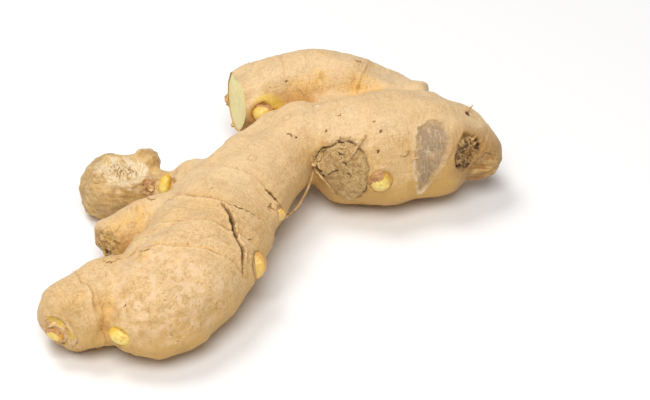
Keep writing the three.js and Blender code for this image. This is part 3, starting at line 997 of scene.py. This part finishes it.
def skin_attributes(mesh, places, spots, dark):
    """What the skin's material reads from its mesh."""
    points = places.points
    nearest = np.argmin(list(places.scars.values()), axis=0)
    flat = np.stack(list(places.flat.values()))[nearest, np.arange(len(points))]
    flat = flat + 0.9 * np.stack([fractal(points, 5, 2, 73), fractal(points, 5, 2, 75)], axis=1)
    radius = np.linalg.norm(flat, axis=1)
    angle = np.arctan2(flat[:, 1], flat[:, 0]) + 0.18 * radius
    normals = normals_of(mesh)
    # How far the skin lies below its smoothed self: the material paints shade into these hollows and creases.
    hollow = ((relax(mesh, points_of(mesh), 24) - points_of(mesh)) * normals).sum(axis=1)
    fray = bell((places.scars["grey"] - 0.3) / 0.45) * ramp(places.flat["grey"][:, 0], 1.5, -2.5)
    spot_distances = [distance_to(place, points) / size for *place, size, _ in spots]
    rims = [distance_to(bud.at, points) - bud.radius for bud in BUDS.values()]
    set_attributes(
        mesh,
        past=np.clip(places.past, -6, 6),
        plain=places.plain,
        warty=places.on("main_finger") * ramp(places.across[:, 0] + 4 * noise(points, 12, 72), 34, 24),
        flat=np.column_stack([flat, np.zeros(len(points))]),
        spokes=np.column_stack([6 * np.cos(angle), 6 * np.sin(angle), radius / 3]),
        fibre=places.across,
        hollow=ramp(hollow, 0.08, 0.9),
        # where painted shade goes, more the more the skin faces down.
        under=ramp(normals[:, 2], 0.8, -0.5),
        clear=1 - places.crease,
        frayed=fray * ramp(noise(points, 1.3, 77), -0.7, 0.2),
        # top: where a painted highlight goes, on upward-facing skin towards the back of the root.
        top=ramp(normals[:, 2], 0.45, 0.95) * ramp(points[:, 1], -30, 5),
        dry=relax(mesh, places.dry[:, None], 12)[:, 0],
        dark=dark,
        pip=np.minimum(np.min(spot_distances, axis=0), 9),
        pale=np.max([spot[4] * ramp(away, 0.6, 0.2) for spot, away in zip(spots, spot_distances)], axis=0),
        young=most_near(points, YELLOW_SPOTS, 1.05, 0.7),
        warm=most_near(points, ORANGE_SPOTS, 1.05, 0.1),
        bud_rim=np.clip(np.min(rims, axis=0), -9, 9),
        **{"scar_" + name: np.clip(distance, -9, 9) for name, distance in places.scars.items()},
    )


def cut_end(mesh):
    """Takes off what lies beyond the knife cut, and returns the loop of points round the cut."""
    at = Vector((np.array(CUT["at"]) - ORIGIN) * MM)
    shape = bmesh.new()
    shape.from_mesh(mesh)
    near = [v for v in shape.verts if (v.co - at).length < CUT_REACH * MM]
    chosen = set(near)
    faces = [face for face in shape.faces if all(v in chosen for v in face.verts)]
    edges = list(dict.fromkeys(edge for face in faces for edge in face.edges))
    cut = bmesh.ops.bisect_plane(
        shape,
        geom=near + edges + faces,
        dist=MERGE,
        plane_co=at,
        plane_no=Vector(unit(CUT["faces"])),
        clear_outer=True,
    )
    rim = [item.co for item in cut["geom_cut"] if isinstance(item, bmesh.types.BMVert)]
    loop = np.array(rim) / MM + ORIGIN
    shape.to_mesh(mesh)
    shape.free()
    return loop


def make_skin(material):
    """The skin, and the loop of points round its knife cut."""
    mesh = join_lobes()
    surface = Surface(mesh)
    curves = {name: surface.settle(spline(points, 5)) for name, (_, _, points) in SPLITS.items()}
    split_fine_parts(mesh, curves)
    points, normals = points_of(mesh), normals_of(mesh)
    places = Places(points, curves)
    root_scars = surface.settle(ROOT_SCARS)
    spots = scattered_spots(points, SMALL_SCARS)
    height, dark = split_relief(places, surface.settle(PITS))
    height += ring_relief(places) + skin_lumps(places) + gnarl(places) + scar_relief(places)
    height += collar_relief(points, normals)
    height += root_scar_relief(points, root_scars) + 0.6 * root_scar_relief(points, spots)
    points = points + normals * height[:, None]
    points[:, 2] = np.maximum(points[:, 2], 0)
    set_points(mesh, points)
    skin_attributes(mesh, places, np.vstack([root_scars, spots]), dark)
    loop = cut_end(mesh)
    return finished(add_object("skin", mesh), material), loop


# ---- Materials ----
#
# A noise is given by the length of its lumps in millimetres, its detail and its roughness. A ramp is given by
# the levels between which it rises or falls, the share that it reaches and the one that it starts from.


class Value:
    """What a material works out at each point: a number, a vector or a colour."""

    def __init__(self, tree, socket):
        self.tree = tree
        self.socket = socket

    def node(self, kind, inputs, output=0, **settings):
        """The output of a new node of the same material."""
        node = self.tree.nodes.new("ShaderNode" + kind)
        for name, setting in settings.items():
            setattr(node, name, setting)
        for name, value in inputs.items():
            put(self.tree, node.inputs[name], value)
        return Value(self.tree, node.outputs[output])

    def math(self, operation, other=0.0):
        return self.node("Math", {0: self, 1: other}, operation=operation)

    def __add__(self, other):
        return self.math("ADD", other)

    def __sub__(self, other):
        return self.math("SUBTRACT", other)

    def __mul__(self, other):
        return self.math("MULTIPLY", other)

    def __abs__(self):
        return self.math("ABSOLUTE")

    def ramp(self, low, high, end=1.0, start=0.0):
        """start below low, end above high and smooth between. low may be the higher one."""
        if low > high:
            low, high, start, end = high, low, end, start
        levels = {"From Min": low, "From Max": high, "To Min": start, "To Max": end}
        return self.node("MapRange", {"Value": self, **levels}, interpolation_type="SMOOTHSTEP")

    def band(self, middle, outer, inner, share=1.0):
        """share within inner of a level, and 0 farther than outer from it."""
        return abs(self - middle).ramp(outer, inner, share)

    def stretch(self, *factors):
        return self.node("VectorMath", {0: self, 1: factors}, operation="MULTIPLY")

    def noise(self, length, detail=2.0, roughness=0.5):
        """Noise from 0 to 1 whose lumps are about length across."""
        inputs = {"Vector": self, "Scale": 1 / length, "Detail": detail, "Roughness": roughness}
        return self.node("TexNoise", inputs, "Fac")

    def lines(self, length, width, detail=3):
        """1 on thin wandering lines and 0 between them."""
        return self.noise(length, detail, 0.6).band(0.5, width, width / 4)

    def cells(self, length):
        """The distance from the middle of the nearest of many cells."""
        return self.node("TexVoronoi", {"Vector": self, "Scale": 1 / length}, "Distance")


def put(tree, socket, value):
    """Gives an input of a node a Value, a colour or a number."""
    if isinstance(value, Value):
        tree.links.new(value.socket, socket)
    elif socket.type == "RGBA":
        socket.default_value = (*value, 1)
    else:
        socket.default_value = value


class Material:
    """A short way to write a material."""

    def __init__(self, name):
        self.material = bpy.data.materials.new(name)
        self.material.use_nodes = True
        self.tree = self.material.node_tree
        self.surface = self.tree.nodes["Principled BSDF"]
        self.start = Value(self.tree, None)

    def attribute(self, name, output="Fac"):
        return self.start.node("Attribute", {}, output, attribute_name=name)

    def place(self):
        """The object's own coordinates, in millimetres."""
        return self.start.node("TexCoord", {}, "Object").stretch(*[1 / MM] * 3)

    def layers(self, base, *coats):
        """A base colour with coats of other colours over it, each a colour and its share."""
        colour = base
        for coat, share in coats:
            colour = self.start.node("Mix", {0: share, 6: colour, 7: coat}, 2, data_type="RGBA")
        return colour

    def set(self, **inputs):
        """Sets inputs of the surface, named with _ for each space."""
        for name, value in inputs.items():
            put(self.tree, self.surface.inputs[name.replace("_", " ")], value)

    def finish(self, colour, roughness, specular, height=None, strength=1.0):
        """The material. height is the relief of its finest grain, in millimetres."""
        if height is not None:
            bump = {"Distance": MM, "Strength": strength, "Height": height}
            self.set(Normal=self.start.node("Bump", bump, "Normal"))
        self.set(Base_Color=colour, Roughness=roughness, Specular_IOR_Level=specular)
        return self.material


def dusty_coat(look, place, furrows, clear):
    """The grey finger's dry skin, with pale fibres between brown furrows."""
    return look.layers(
        PALE_BARK,
        (BARK, place.noise(4, 4, 0.65).ramp(0.4, 0.6)),
        (BROWN, furrows.ramp(0.5, 0.64, 0.8) * clear),
        (WHITE_FIBRE, furrows.ramp(0.46, 0.34, 0.8) * clear),
    )


def grey_coat(look, flat):
    """The grey scar's felt of upright fibres."""
    upright = flat.stretch(1, 0.35, 1)
    fuzz = upright.noise(0.8, 4, 0.75)
    hairs = flat.stretch(1, 0.15, 1).lines(2.2, 0.012, 1).math("MAXIMUM", upright.lines(3.4, 0.008, 1))
    return look.layers(
        GREY,
        (GREY_TAN, flat.noise(5, 3, 0.6).ramp(0.45, 0.7, 0.7)),
        (WHITE_FIBRE, fuzz.ramp(0.5, 0.68, 0.5)),
        (BROWN, fuzz.ramp(0.48, 0.36, 0.35)),
        (CREAM, hairs * 0.5),
    )


def crumbly_coat(look, place, edge):
    """The crumbs in the hole, darkest in places at its edge."""
    return look.layers(
        BROWN,
        (STAIN_AND_SHADE, place.noise(2, 4, 0.7).ramp(0.4, 0.6)),
        (PALE_BARK, place.noise(1.1, 4, 0.75).ramp(0.54, 0.62)),
        (DARK_BROWN, place.noise(2.2, 4, 0.75).ramp(0.5, 0.43)),
        (DARK_BROWN, edge.band(0, 1.5, 0.3, 0.9) * place.noise(5, 2).ramp(0.42, 0.52)),
    )


def bark_coat(look, place, flat, grain):
    """The flaky plate's bark."""
    return look.layers(
        BARK,
        (PALE_BARK, flat.noise(4, 4, 0.65).ramp(0.35, 0.6)),
        (BROWN, grain.ramp(0.51, 0.6, 0.85)),
        (PALE_TAN, grain.ramp(0.48, 0.4, 0.95)),
        (PALE_TAN, place.stretch(0.5, 1, 0.7).lines(1.6, 0.02) * 0.4),
    )


def bowl_coat(look, flat, around, edge):
    """The fibres of the bowl: spokes round its rim, rounds in its middle, and dark slits between those."""
    spokes, rounds = (
        look.layers(CREAM, (PALE_BARK, fibres.ramp(0.46, 0.58)), (BROWN, fibres.ramp(0.56, 0.68, 0.8)))
        for fibres in (around.noise(0.9, 5, 0.72), around.stretch(0.3, 0.3, 3.5).noise(1.0, 5, 0.72))
    )
    slits = flat.stretch(1, 0.5, 1).noise(0.9, 3, 0.65).ramp(0.52, 0.58)
    return look.layers(spokes, (rounds, edge.ramp(-3.6, -1.8)), (BROWN, slits * edge.ramp(-2.4, -4)))


def peeling_coat(look, place, around):
    """The scaly end of the front finger."""
    return look.layers(
        PALE_PINK,
        (WARM_BROWN, around.stretch(0.3, 0.3, 4).noise(1.2, 5, 0.75).ramp(0.46, 0.6)),
        (YOUNG_YELLOW, place.noise(2.4, 3, 0.6).ramp(0.5, 0.6, 0.7)),
    )


def rotten_coat(look, place):
    """The torn end of the side finger."""
    return look.layers(
        BROWN,
        (PALE_BARK, place.noise(1.4, 4, 0.75).ramp(0.42, 0.58)),
        (YOUNG_YELLOW, place.noise(3.4, 3, 0.6).ramp(0.52, 0.6, 0.5)),
        (DARK_BROWN, place.noise(3.6, 4, 0.65).ramp(0.43, 0.38, 0.9)),
    )


def end_coat(look, place):
    """The dried end of the knob."""
    return look.layers(
        STAIN_AND_SHADE,
        (PALE_BARK, place.stretch(0.3, 1, 1).noise(1.4, 5, 0.7).ramp(0.44, 0.62)),
        (BROWN, place.noise(2.6, 4, 0.7).ramp(0.5, 0.62, 0.6)),
    )


def skin_material():
    look = Material("ginger_skin")
    place = look.place()
    fibre = look.attribute("fibre", "Vector")
    flat = look.attribute("flat", "Vector")
    around = look.attribute("spokes", "Vector")
    clear, plain, warty, warm, dry = map(look.attribute, ("clear", "plain", "warty", "warm", "dry"))

    streaks = fibre.stretch(0.09, 1, 1).noise(0.8, 3, 0.65)
    crossing = fibre.stretch(1, 0.16, 0.16).noise(0.9, 3, 0.65)
    furrows = fibre.stretch(0.35, 1, 1).noise(1.6, 5, 0.7)
    grain = place.noise(0.55, 2, 0.6)
    mottle = place.noise(1.6, 3, 0.65)
    warts = place.noise(3.0, 4, 0.65)
    crinkle = place.stretch(1, 0.5, 0.8).noise(1.5, 4, 0.7)
    wrinkles = fibre.stretch(1, 0.4, 0.4).lines(3.0, 0.016, 4) * place.noise(8, 3).ramp(0.42, 0.6) * clear
    threads = fibre.stretch(0.6, 1, 1).lines(1.7, 0.025) * clear
    felt = place.stretch(0.8, 1.2, 1).lines(1.5, 0.03)
    speckle = place.cells(3.1).ramp(0.15, 0.07) * place.noise(7, 2).ramp(0.5, 0.62)
    bark_grain = place.stretch(1, 1, 0.8).noise(1.2, 5, 0.75)
    past = look.attribute("past") + place.noise(1.1, 3, 0.7).ramp(0.2, 0.8, 0.5, -0.5)
    ring_line = past.band(0.3, 0.55, 0.15) * plain
    ragged = place.noise(1.6, 3, 0.7).ramp(0.2, 0.8, 0.7, -0.7)
    dark = look.attribute("dark") + grain.ramp(0.3, 0.7, 0.15, -0.15)
    hole, plate, bowl = map(look.attribute, ("scar_hole", "scar_plate", "scar_bowl"))

    def within(name, outer, inner):
        """1 inside a scar and 0 outside it, with a ragged edge."""
        return (look.attribute("scar_" + name) + ragged).ramp(outer, inner)

    def streaked(pattern):
        """Coats for the dark and the pale parts of a pattern that the creases don't have."""
        yield WARM_BROWN, pattern.ramp(0.52, 0.68, 0.26) * clear
        yield PALE_TAN, pattern.ramp(0.48, 0.32, 0.42) * clear

    def grained(pattern, dark_share, pale_share):
        """Coats for the dark and the pale parts of a pattern."""
        yield WARM_BROWN, pattern.ramp(0.5, 0.66, dark_share)
        yield PALE_TAN, pattern.ramp(0.49, 0.34, pale_share)

    in_plate = within("plate", 0.3, -0.3)
    colour = look.layers(
        TAN,
        (PALE_TAN, place.noise(22, 3, 0.55).ramp(0.36, 0.64)),
        (PINK_TAN, place.stretch(1, 1.2, 0.9).noise(7, 4, 0.65).ramp(0.5, 0.68, 0.6)),
        (GREY_TAN, place.noise(11, 4, 0.65).ramp(0.5, 0.7, 0.4)),
        (ORANGE_TAN, place.noise(14, 4, 0.65).ramp(0.55, 0.7, 0.6)),
        *streaked(streaks),
        *streaked(crossing),
        *grained(mottle, 0.36, 0.6),
        *grained(grain, 0.3, 0.35),
        (WARM_BROWN, wrinkles * 0.35),
        (WARM_BROWN, threads * 0.35),
        (PALE_TAN, felt * 0.45),
        (PALE_PINK, warty * warts.ramp(0.5, 0.58, 0.85)),
        (PINK_BROWN, warty * warts.ramp(0.43, 0.32, 0.55)),
        (BROWN, speckle * 0.8),
        (ORANGE_TAN, past.band(0.6, 2.2, 0.2) * plain * 0.45),
        (BROWN, ring_line * 0.75),
        (PALE_TAN, past.band(-0.6, 0.7, 0.1) * plain * 0.7),
        # painted highlight on the upward-facing skin
        (PAINTED_TOP_HIGHLIGHT, look.attribute("top") * 0.28),
        # painted shade in the hollows and creases
        (WARM_BROWN, look.attribute("hollow") * 0.7),
        # painted shade on the skin that faces sideways or down
        (PAINTED_SHADE_AMBER, look.attribute("under") * 0.85),
        (WARM, warm * warts.ramp(0.38, 0.58, 1, 0.3)),
        (WARM_BROWN, warm * crinkle.ramp(0.5, 0.62, 0.7)),
        (dusty_coat(look, place, furrows, clear), dry * 0.8),
        (grey_coat(look, flat), within("grey", 1.4, -2.4) * 0.92),
        (CREAM, look.attribute("frayed") * 0.75),
        # stain and painted shade round the hole and over the knob's end
        (STAIN_AND_SHADE, within("hole", 6, 0.5) * 0.55),
        (STAIN_AND_SHADE, within("knob_tip", 10, 1) * 0.8),
        (crumbly_coat(look, place, hole + ragged * 2), within("hole", 1.2, -1.6) * 0.92),
        (bark_coat(look, place, flat, bark_grain), in_plate * 0.85),
        (BROWN, (plate + ragged).band(0.3, 0.8, 0.1, 0.45)),
        (bowl_coat(look, flat, around, bowl), within("bowl", 1.4, -1.6) * 0.85),
        (peeling_coat(look, place, around), within("front_tip", 1.0, -0.6) * 0.85),
        (rotten_coat(look, place), within("side_tip", 1.6, -1.2) * 0.85),
        (end_coat(look, place), within("knob_tip", 4, -3) * 0.8),
        (WARM_BROWN, look.attribute("pip").band(0.6, 0.25, 0.05, 0.4) * grain.ramp(0.4, 0.6, 1, 0.3)),
        (CREAM, look.attribute("pale") * grain.ramp(0.35, 0.55, 1, 0.4)),
        (YOUNG_YELLOW, look.attribute("young") * 0.9),
        (BROWN, (look.attribute("bud_rim") + ragged).band(0, 0.9, 0.1, 0.8)),
        # painted shade in the depths of the splits and pits
        (BROWN, dark.ramp(0.15, 0.45, 0.8)),
        (DARK_BROWN, dark.ramp(0.4, 0.9, 0.92)),
    )

    height = (streaks + crossing) * clear * 0.26 - warm * crinkle * 0.7 + (grain + mottle) * 0.2
    height = height - wrinkles * 0.05 + felt * 0.04 - ring_line * 0.15
    height = height + dry * furrows * clear * 0.7 - in_plate * bark_grain * 1.3
    look.set(Sheen_Weight=0.15, Sheen_Roughness=0.4)
    return look.finish(colour, place.noise(3, 3).ramp(0.3, 0.7, 0.66, 0.44), 0.4, height, 0.9)


def bud_material():
    look = Material("bud")
    place = look.place()
    height_share = look.attribute("tip")
    scale = look.attribute("scale").ramp(0.4, 0.6)
    orange = look.attribute("orange")
    patches = place.noise(2.0, 4, 0.65)
    colour = look.layers(
        BUD_YELLOW,
        (BUD_TIP, height_share.ramp(0.3, 0.9)),
        (BUD_RIM, height_share.ramp(0.62, 0.36) * orange.ramp(0, 0.4, 0.85, 0.15)),
        (BUD_AMBER, patches.ramp(0.5, 0.6, 0.6)),
        (BUD_SPECK, place.noise(1.1, 4, 0.7).ramp(0.55, 0.68, 0.5)),
        (BUD_ORANGE, orange * patches.ramp(0.6, 0.4, 0.8, 0.2)),
        (look.layers(BUD_SCALE, (BROWN, place.noise(1.2, 4, 0.7).ramp(0.44, 0.62))), scale),
    )
    look.set(Subsurface_Weight=0.15, Subsurface_Radius=BUD_GLOW)
    roughness = look.attribute("scale").ramp(0.4, 0.6, 0.7, 0.36)
    return look.finish(colour, roughness, 0.5, place.noise(0.5, 3) * 0.06)


def flesh_material():
    look = Material("cut_flesh")
    place = look.place()
    rim = look.attribute("rim")
    colour = look.layers(
        FLESH,
        (PALE_FLESH, place.noise(2.5, 3).ramp(0.4, 0.65)),
        (FLESH_FIBRE, place.cells(1.1).ramp(0.28, 0.12) * 0.6),
        (FLESH_RING, rim.band(0.76, 0.03, 0.01, 0.2)),
        (FLESH_RIM, rim.ramp(0.92, 1.0, 0.6)),
    )
    look.set(Subsurface_Weight=0.2, Subsurface_Radius=FLESH_GLOW)
    return look.finish(colour, 0.5, 0.4, place.noise(0.8, 4) * 0.15)


def dry_material():
    look = Material("dry_skin")
    colour = look.layers(DRY_SKIN, (DARK_DRY_SKIN, look.place().noise(1.5, 3).ramp(0.4, 0.7)))
    return look.finish(colour, 0.65, 0.25)


# ---- Buds, cut flesh, rootlets ----


def make_bud(name, bud, material):
    """A blunt bud of overlapping scales, on a foot sunk in the skin."""
    share, angle = pairs(np.linspace(0, 1, BUD_ROWS), turns(BUD_SIDES))
    seed = len(name)
    turn = (angle / (2 * math.pi) - bud.starts) % 1
    top_edge = bud.covers + 0.08 * np.sin(angle * 2 + seed) + 0.03 * np.sin(angle * 9)
    covered = ramp(turn, bud.wraps, bud.wraps - 0.04) * ramp(turn, 0.0, 0.04)
    covered *= ramp(share, top_edge + 0.02, top_edge - 0.02)
    inner = 0.5 + 0.5 * np.sin(angle + seed)
    fold = 0.12 * ramp(share, 0.62 + 0.15 * inner, 0.56 + 0.15 * inner)
    girth = np.interp(share, BUD_SHARES, BUD_GIRTHS)
    spread = bud.radius * (girth + 0.08 * covered + fold * girth)
    level = bud.reach * np.interp(share, BUD_SHARES, (-BUD_FOOT / bud.reach, *BUD_LEVELS))
    local = np.stack([np.cos(angle) * spread * bud.wide, np.sin(angle) * spread, level], axis=1)
    local += 0.09 * bud.radius * fractal(local + seed, bud.radius * 0.9, 3, seed)[:, None] * (1, 1, 0.6)
    points = np.array(bud.at) + local @ np.stack(facing(bud.faces))
    foot = tuple(reversed(range(BUD_SIDES)))
    piece = mesh_object("bud_" + name, points, [*tube_faces(BUD_ROWS, BUD_SIDES), foot])
    set_attributes(piece.data, tip=share, scale=covered, orange=np.full(len(points), bud.orange))
    shape = bmesh.new()
    shape.from_mesh(piece.data)
    bmesh.ops.remove_doubles(shape, verts=shape.verts, dist=MERGE)
    shape.to_mesh(piece.data)
    shape.free()
    return finished(piece, material)


def tube(points, start, end, sides=8):
    """Vertices and faces of a round thread through points, from one thickness to another."""
    curve = spline(points, 6)
    tangent = unit(np.gradient(curve, axis=0))
    side = unit(np.cross(tangent, (0.3, 0.2, 1)))
    top = np.cross(side, tangent)
    share = np.linspace(0, 1, len(curve))
    radius = (start + (end - start) * share) / 2 * (1 + 0.25 * noise(curve, 1.5, 81))
    radius[-1] *= 0.3
    vertices = [
        curve + (math.cos(angle) * side + math.sin(angle) * top) * radius[:, None] for angle in turns(sides)
    ]
    vertices = np.stack(vertices, axis=1).reshape(-1, 3)
    ends = [tuple(range(sides)), tuple(reversed(range(len(vertices) - sides, len(vertices))))]
    return vertices, ends + [face[::-1] for face in tube_faces(len(curve), sides)]


def scrap(place, normal, free, length, width, lift, draw):
    """Vertices and faces of a ragged scrap of dry skin, held along one edge."""
    rows, columns = SCRAP_ROWS, SCRAP_COLUMNS
    free = unit(np.asarray(free) - normal * (np.asarray(free) @ normal))
    along = np.cross(normal, free)
    v, u = pairs(np.linspace(0, 1, rows), np.linspace(-1, 1, columns))
    ragged = np.tile(1 + 0.3 * draw.uniform(-1, 1, columns), rows) * (1 - np.abs(u) ** 3)
    out = v * width * ragged
    rise = lift * v**1.6 * (1 - 0.5 * u**2) - 0.12
    curl = 0.25 * width * np.sin(2.2 * u + draw.uniform(0, 6))
    top = place + along * (u * length / 2)[:, None] + free * (out + curl)[:, None] + normal * rise[:, None]
    count = rows * columns
    corners = [row * columns + i for row in range(rows - 1) for i in range(columns - 1)]
    faces = [(a, a + 1, a + columns + 1, a + columns) for a in corners]
    faces += [tuple(count + a for a in reversed(face)) for face in faces]
    rim = list(range(columns)) + [row * columns + columns - 1 for row in range(1, rows)]
    rim += list(range(count - 2, count - columns - 1, -1)) + [row * columns for row in range(rows - 2, 0, -1)]
    faces += [(b, a, a + count, b + count) for a, b in zip(rim, rim[1:] + rim[:1])]
    return np.vstack([top, top - normal * SCRAP_THICKNESS]), faces


def joined(name, parts, material):
    """One smooth piece from several lots of vertices and faces."""
    piece = mesh_object(name, *gathered(parts))
    return finished(piece, material)


def make_rootlets(surface, material):
    """The rootlets of the table, and short hairs all over."""
    parts = [tube(*rootlet) for rootlet in ROOTLETS]
    draw = np.random.default_rng(HAIR_SEED)
    for index in draw.choice(len(surface.points), HAIRS, replace=False):
        place, normal = surface.points[index], surface.normals[index]
        if place[2] < HAIR_FLOOR:
            continue
        lean = unit(normal + draw.uniform(-1, 1, 3) * 0.9)
        length = draw.uniform(*HAIR_LENGTHS)
        bend = draw.uniform(-0.3, 0.3, 3)
        hair = (place - normal * HAIR_ROOT, place + lean * length / 2, place + (lean + bend) * length)
        parts.append(tube(hair, draw.uniform(*HAIR_THICKNESSES), HAIR_TIP, sides=5))
    return joined("rootlets", parts, material)


def make_flakes(surface, loop, material):
    """The scraps of the table, and the torn skin round the knife cut."""
    draw = np.random.default_rng(SCRAP_SEED)
    parts = []
    for x, y, z, *free, length, width, lift in FLAKES:
        parts.append(scrap(*surface.nearest((x, y, z)), free, length, width, lift, draw))
    side, top, outward = facing(CUT["faces"])
    middle = loop.mean(0)
    for way, size in TORN_SKIN:
        point = loop[((loop - middle) @ (math.sin(way) * top - math.cos(way) * side)).argmax()]
        away = unit(point - middle)
        parts.append(scrap(point - outward * 0.3, away, outward, size * 2.4, size * 0.8, size / 2, draw))
    return joined("skin_flakes", parts, material)


def make_flesh(loop, material):
    """The cut face: a disc that fills the loop round the cut, shrunk in a little from its skin."""
    side, top, outward = facing(CUT["faces"])
    middle = loop.mean(0)
    order = np.argsort(np.arctan2((loop - middle) @ top, (loop - middle) @ side))
    edge = loop[order]
    shares = np.arange(FLESH_RINGS, 0, -1) / FLESH_RINGS
    points = []
    for share in shares:
        ring = middle + (edge - middle) * share * FLESH_SHRINK
        depth = 0.12 + 0.35 * share**6 - 0.1 * (1 - share**2)
        wave = 0.12 * fractal(ring, 3, 3, 71) * (1 - share**8)
        points.append(ring - outward * (depth - wave)[:, None])
    points = np.vstack(points + [middle[None] - outward * 0.02])
    count, last, centre = len(edge), len(points) - 1 - len(edge), len(points) - 1
    faces = tube_faces(FLESH_RINGS, count)
    faces += [(last + i, last + (i + 1) % count, centre) for i in range(count)]
    piece = mesh_object("cut_flesh", points, faces)
    set_attributes(piece.data, rim=np.append(np.repeat(shares, count), 0))
    return finished(piece, material)


# ---- Assembly ----

skin, cut_loop = make_skin(skin_material())
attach(skin, "root")
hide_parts("rhizome")

bud_look = bud_material()
for bud_name, bud in BUDS.items():
    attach(make_bud(bud_name, bud, bud_look), "root")

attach(make_flesh(cut_loop, flesh_material()), "root")

skin_surface = Surface(skin.data)
dry_look = dry_material()
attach(make_rootlets(skin_surface, dry_look), "root")
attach(make_flakes(skin_surface, cut_loop, dry_look), "root")


# ---- Stage ----


def make_floor():
    bpy.ops.mesh.primitive_plane_add(size=FLOOR_SIZE * MM)
    floor = bpy.context.object
    floor.name = "floor"
    floor.data.materials.append(Material("floor").finish(FLOOR_COLOUR, 0.9, 0.1))


def add_area_light(name, place, size, power):
    light = bpy.data.lights.new(name, "AREA")
    light.shape = "DISK"
    light.size = size
    light.energy = power
    light.color = LIGHT_COLOUR
    lamp = add_object(name, light)
    lamp.location = place
    lamp.rotation_euler = (-Vector(place)).to_track_quat("-Z", "Y").to_euler()


def add_camera():
    forward = np.array([0, math.cos(CAMERA_DOWN), -math.sin(CAMERA_DOWN)])
    camera = add_object("camera", bpy.data.cameras.new("camera"))
    camera.data.lens = CAMERA_LENS
    camera.data.sensor_width = CAMERA_SENSOR
    camera.data.sensor_fit = "HORIZONTAL"
    camera.location = (CAMERA_TARGET - ORIGIN - forward * CAMERA_DISTANCE) * MM
    camera.rotation_euler = (math.pi / 2 - CAMERA_DOWN, 0, 0)
    bpy.context.scene.camera = camera


def add_sky():
    world = bpy.data.worlds.new("studio")
    world.use_nodes = True
    sky = world.node_tree.nodes["Background"]
    sky.inputs["Color"].default_value = (1, 1, 1, 1)
    sky.inputs["Strength"].default_value = SKY
    bpy.context.scene.world = world


make_floor()
for light_name, light in LIGHTS.items():
    add_area_light(light_name, *light)
add_sky()
add_camera()
bpy.context.scene.view_settings.view_transform = "Standard"
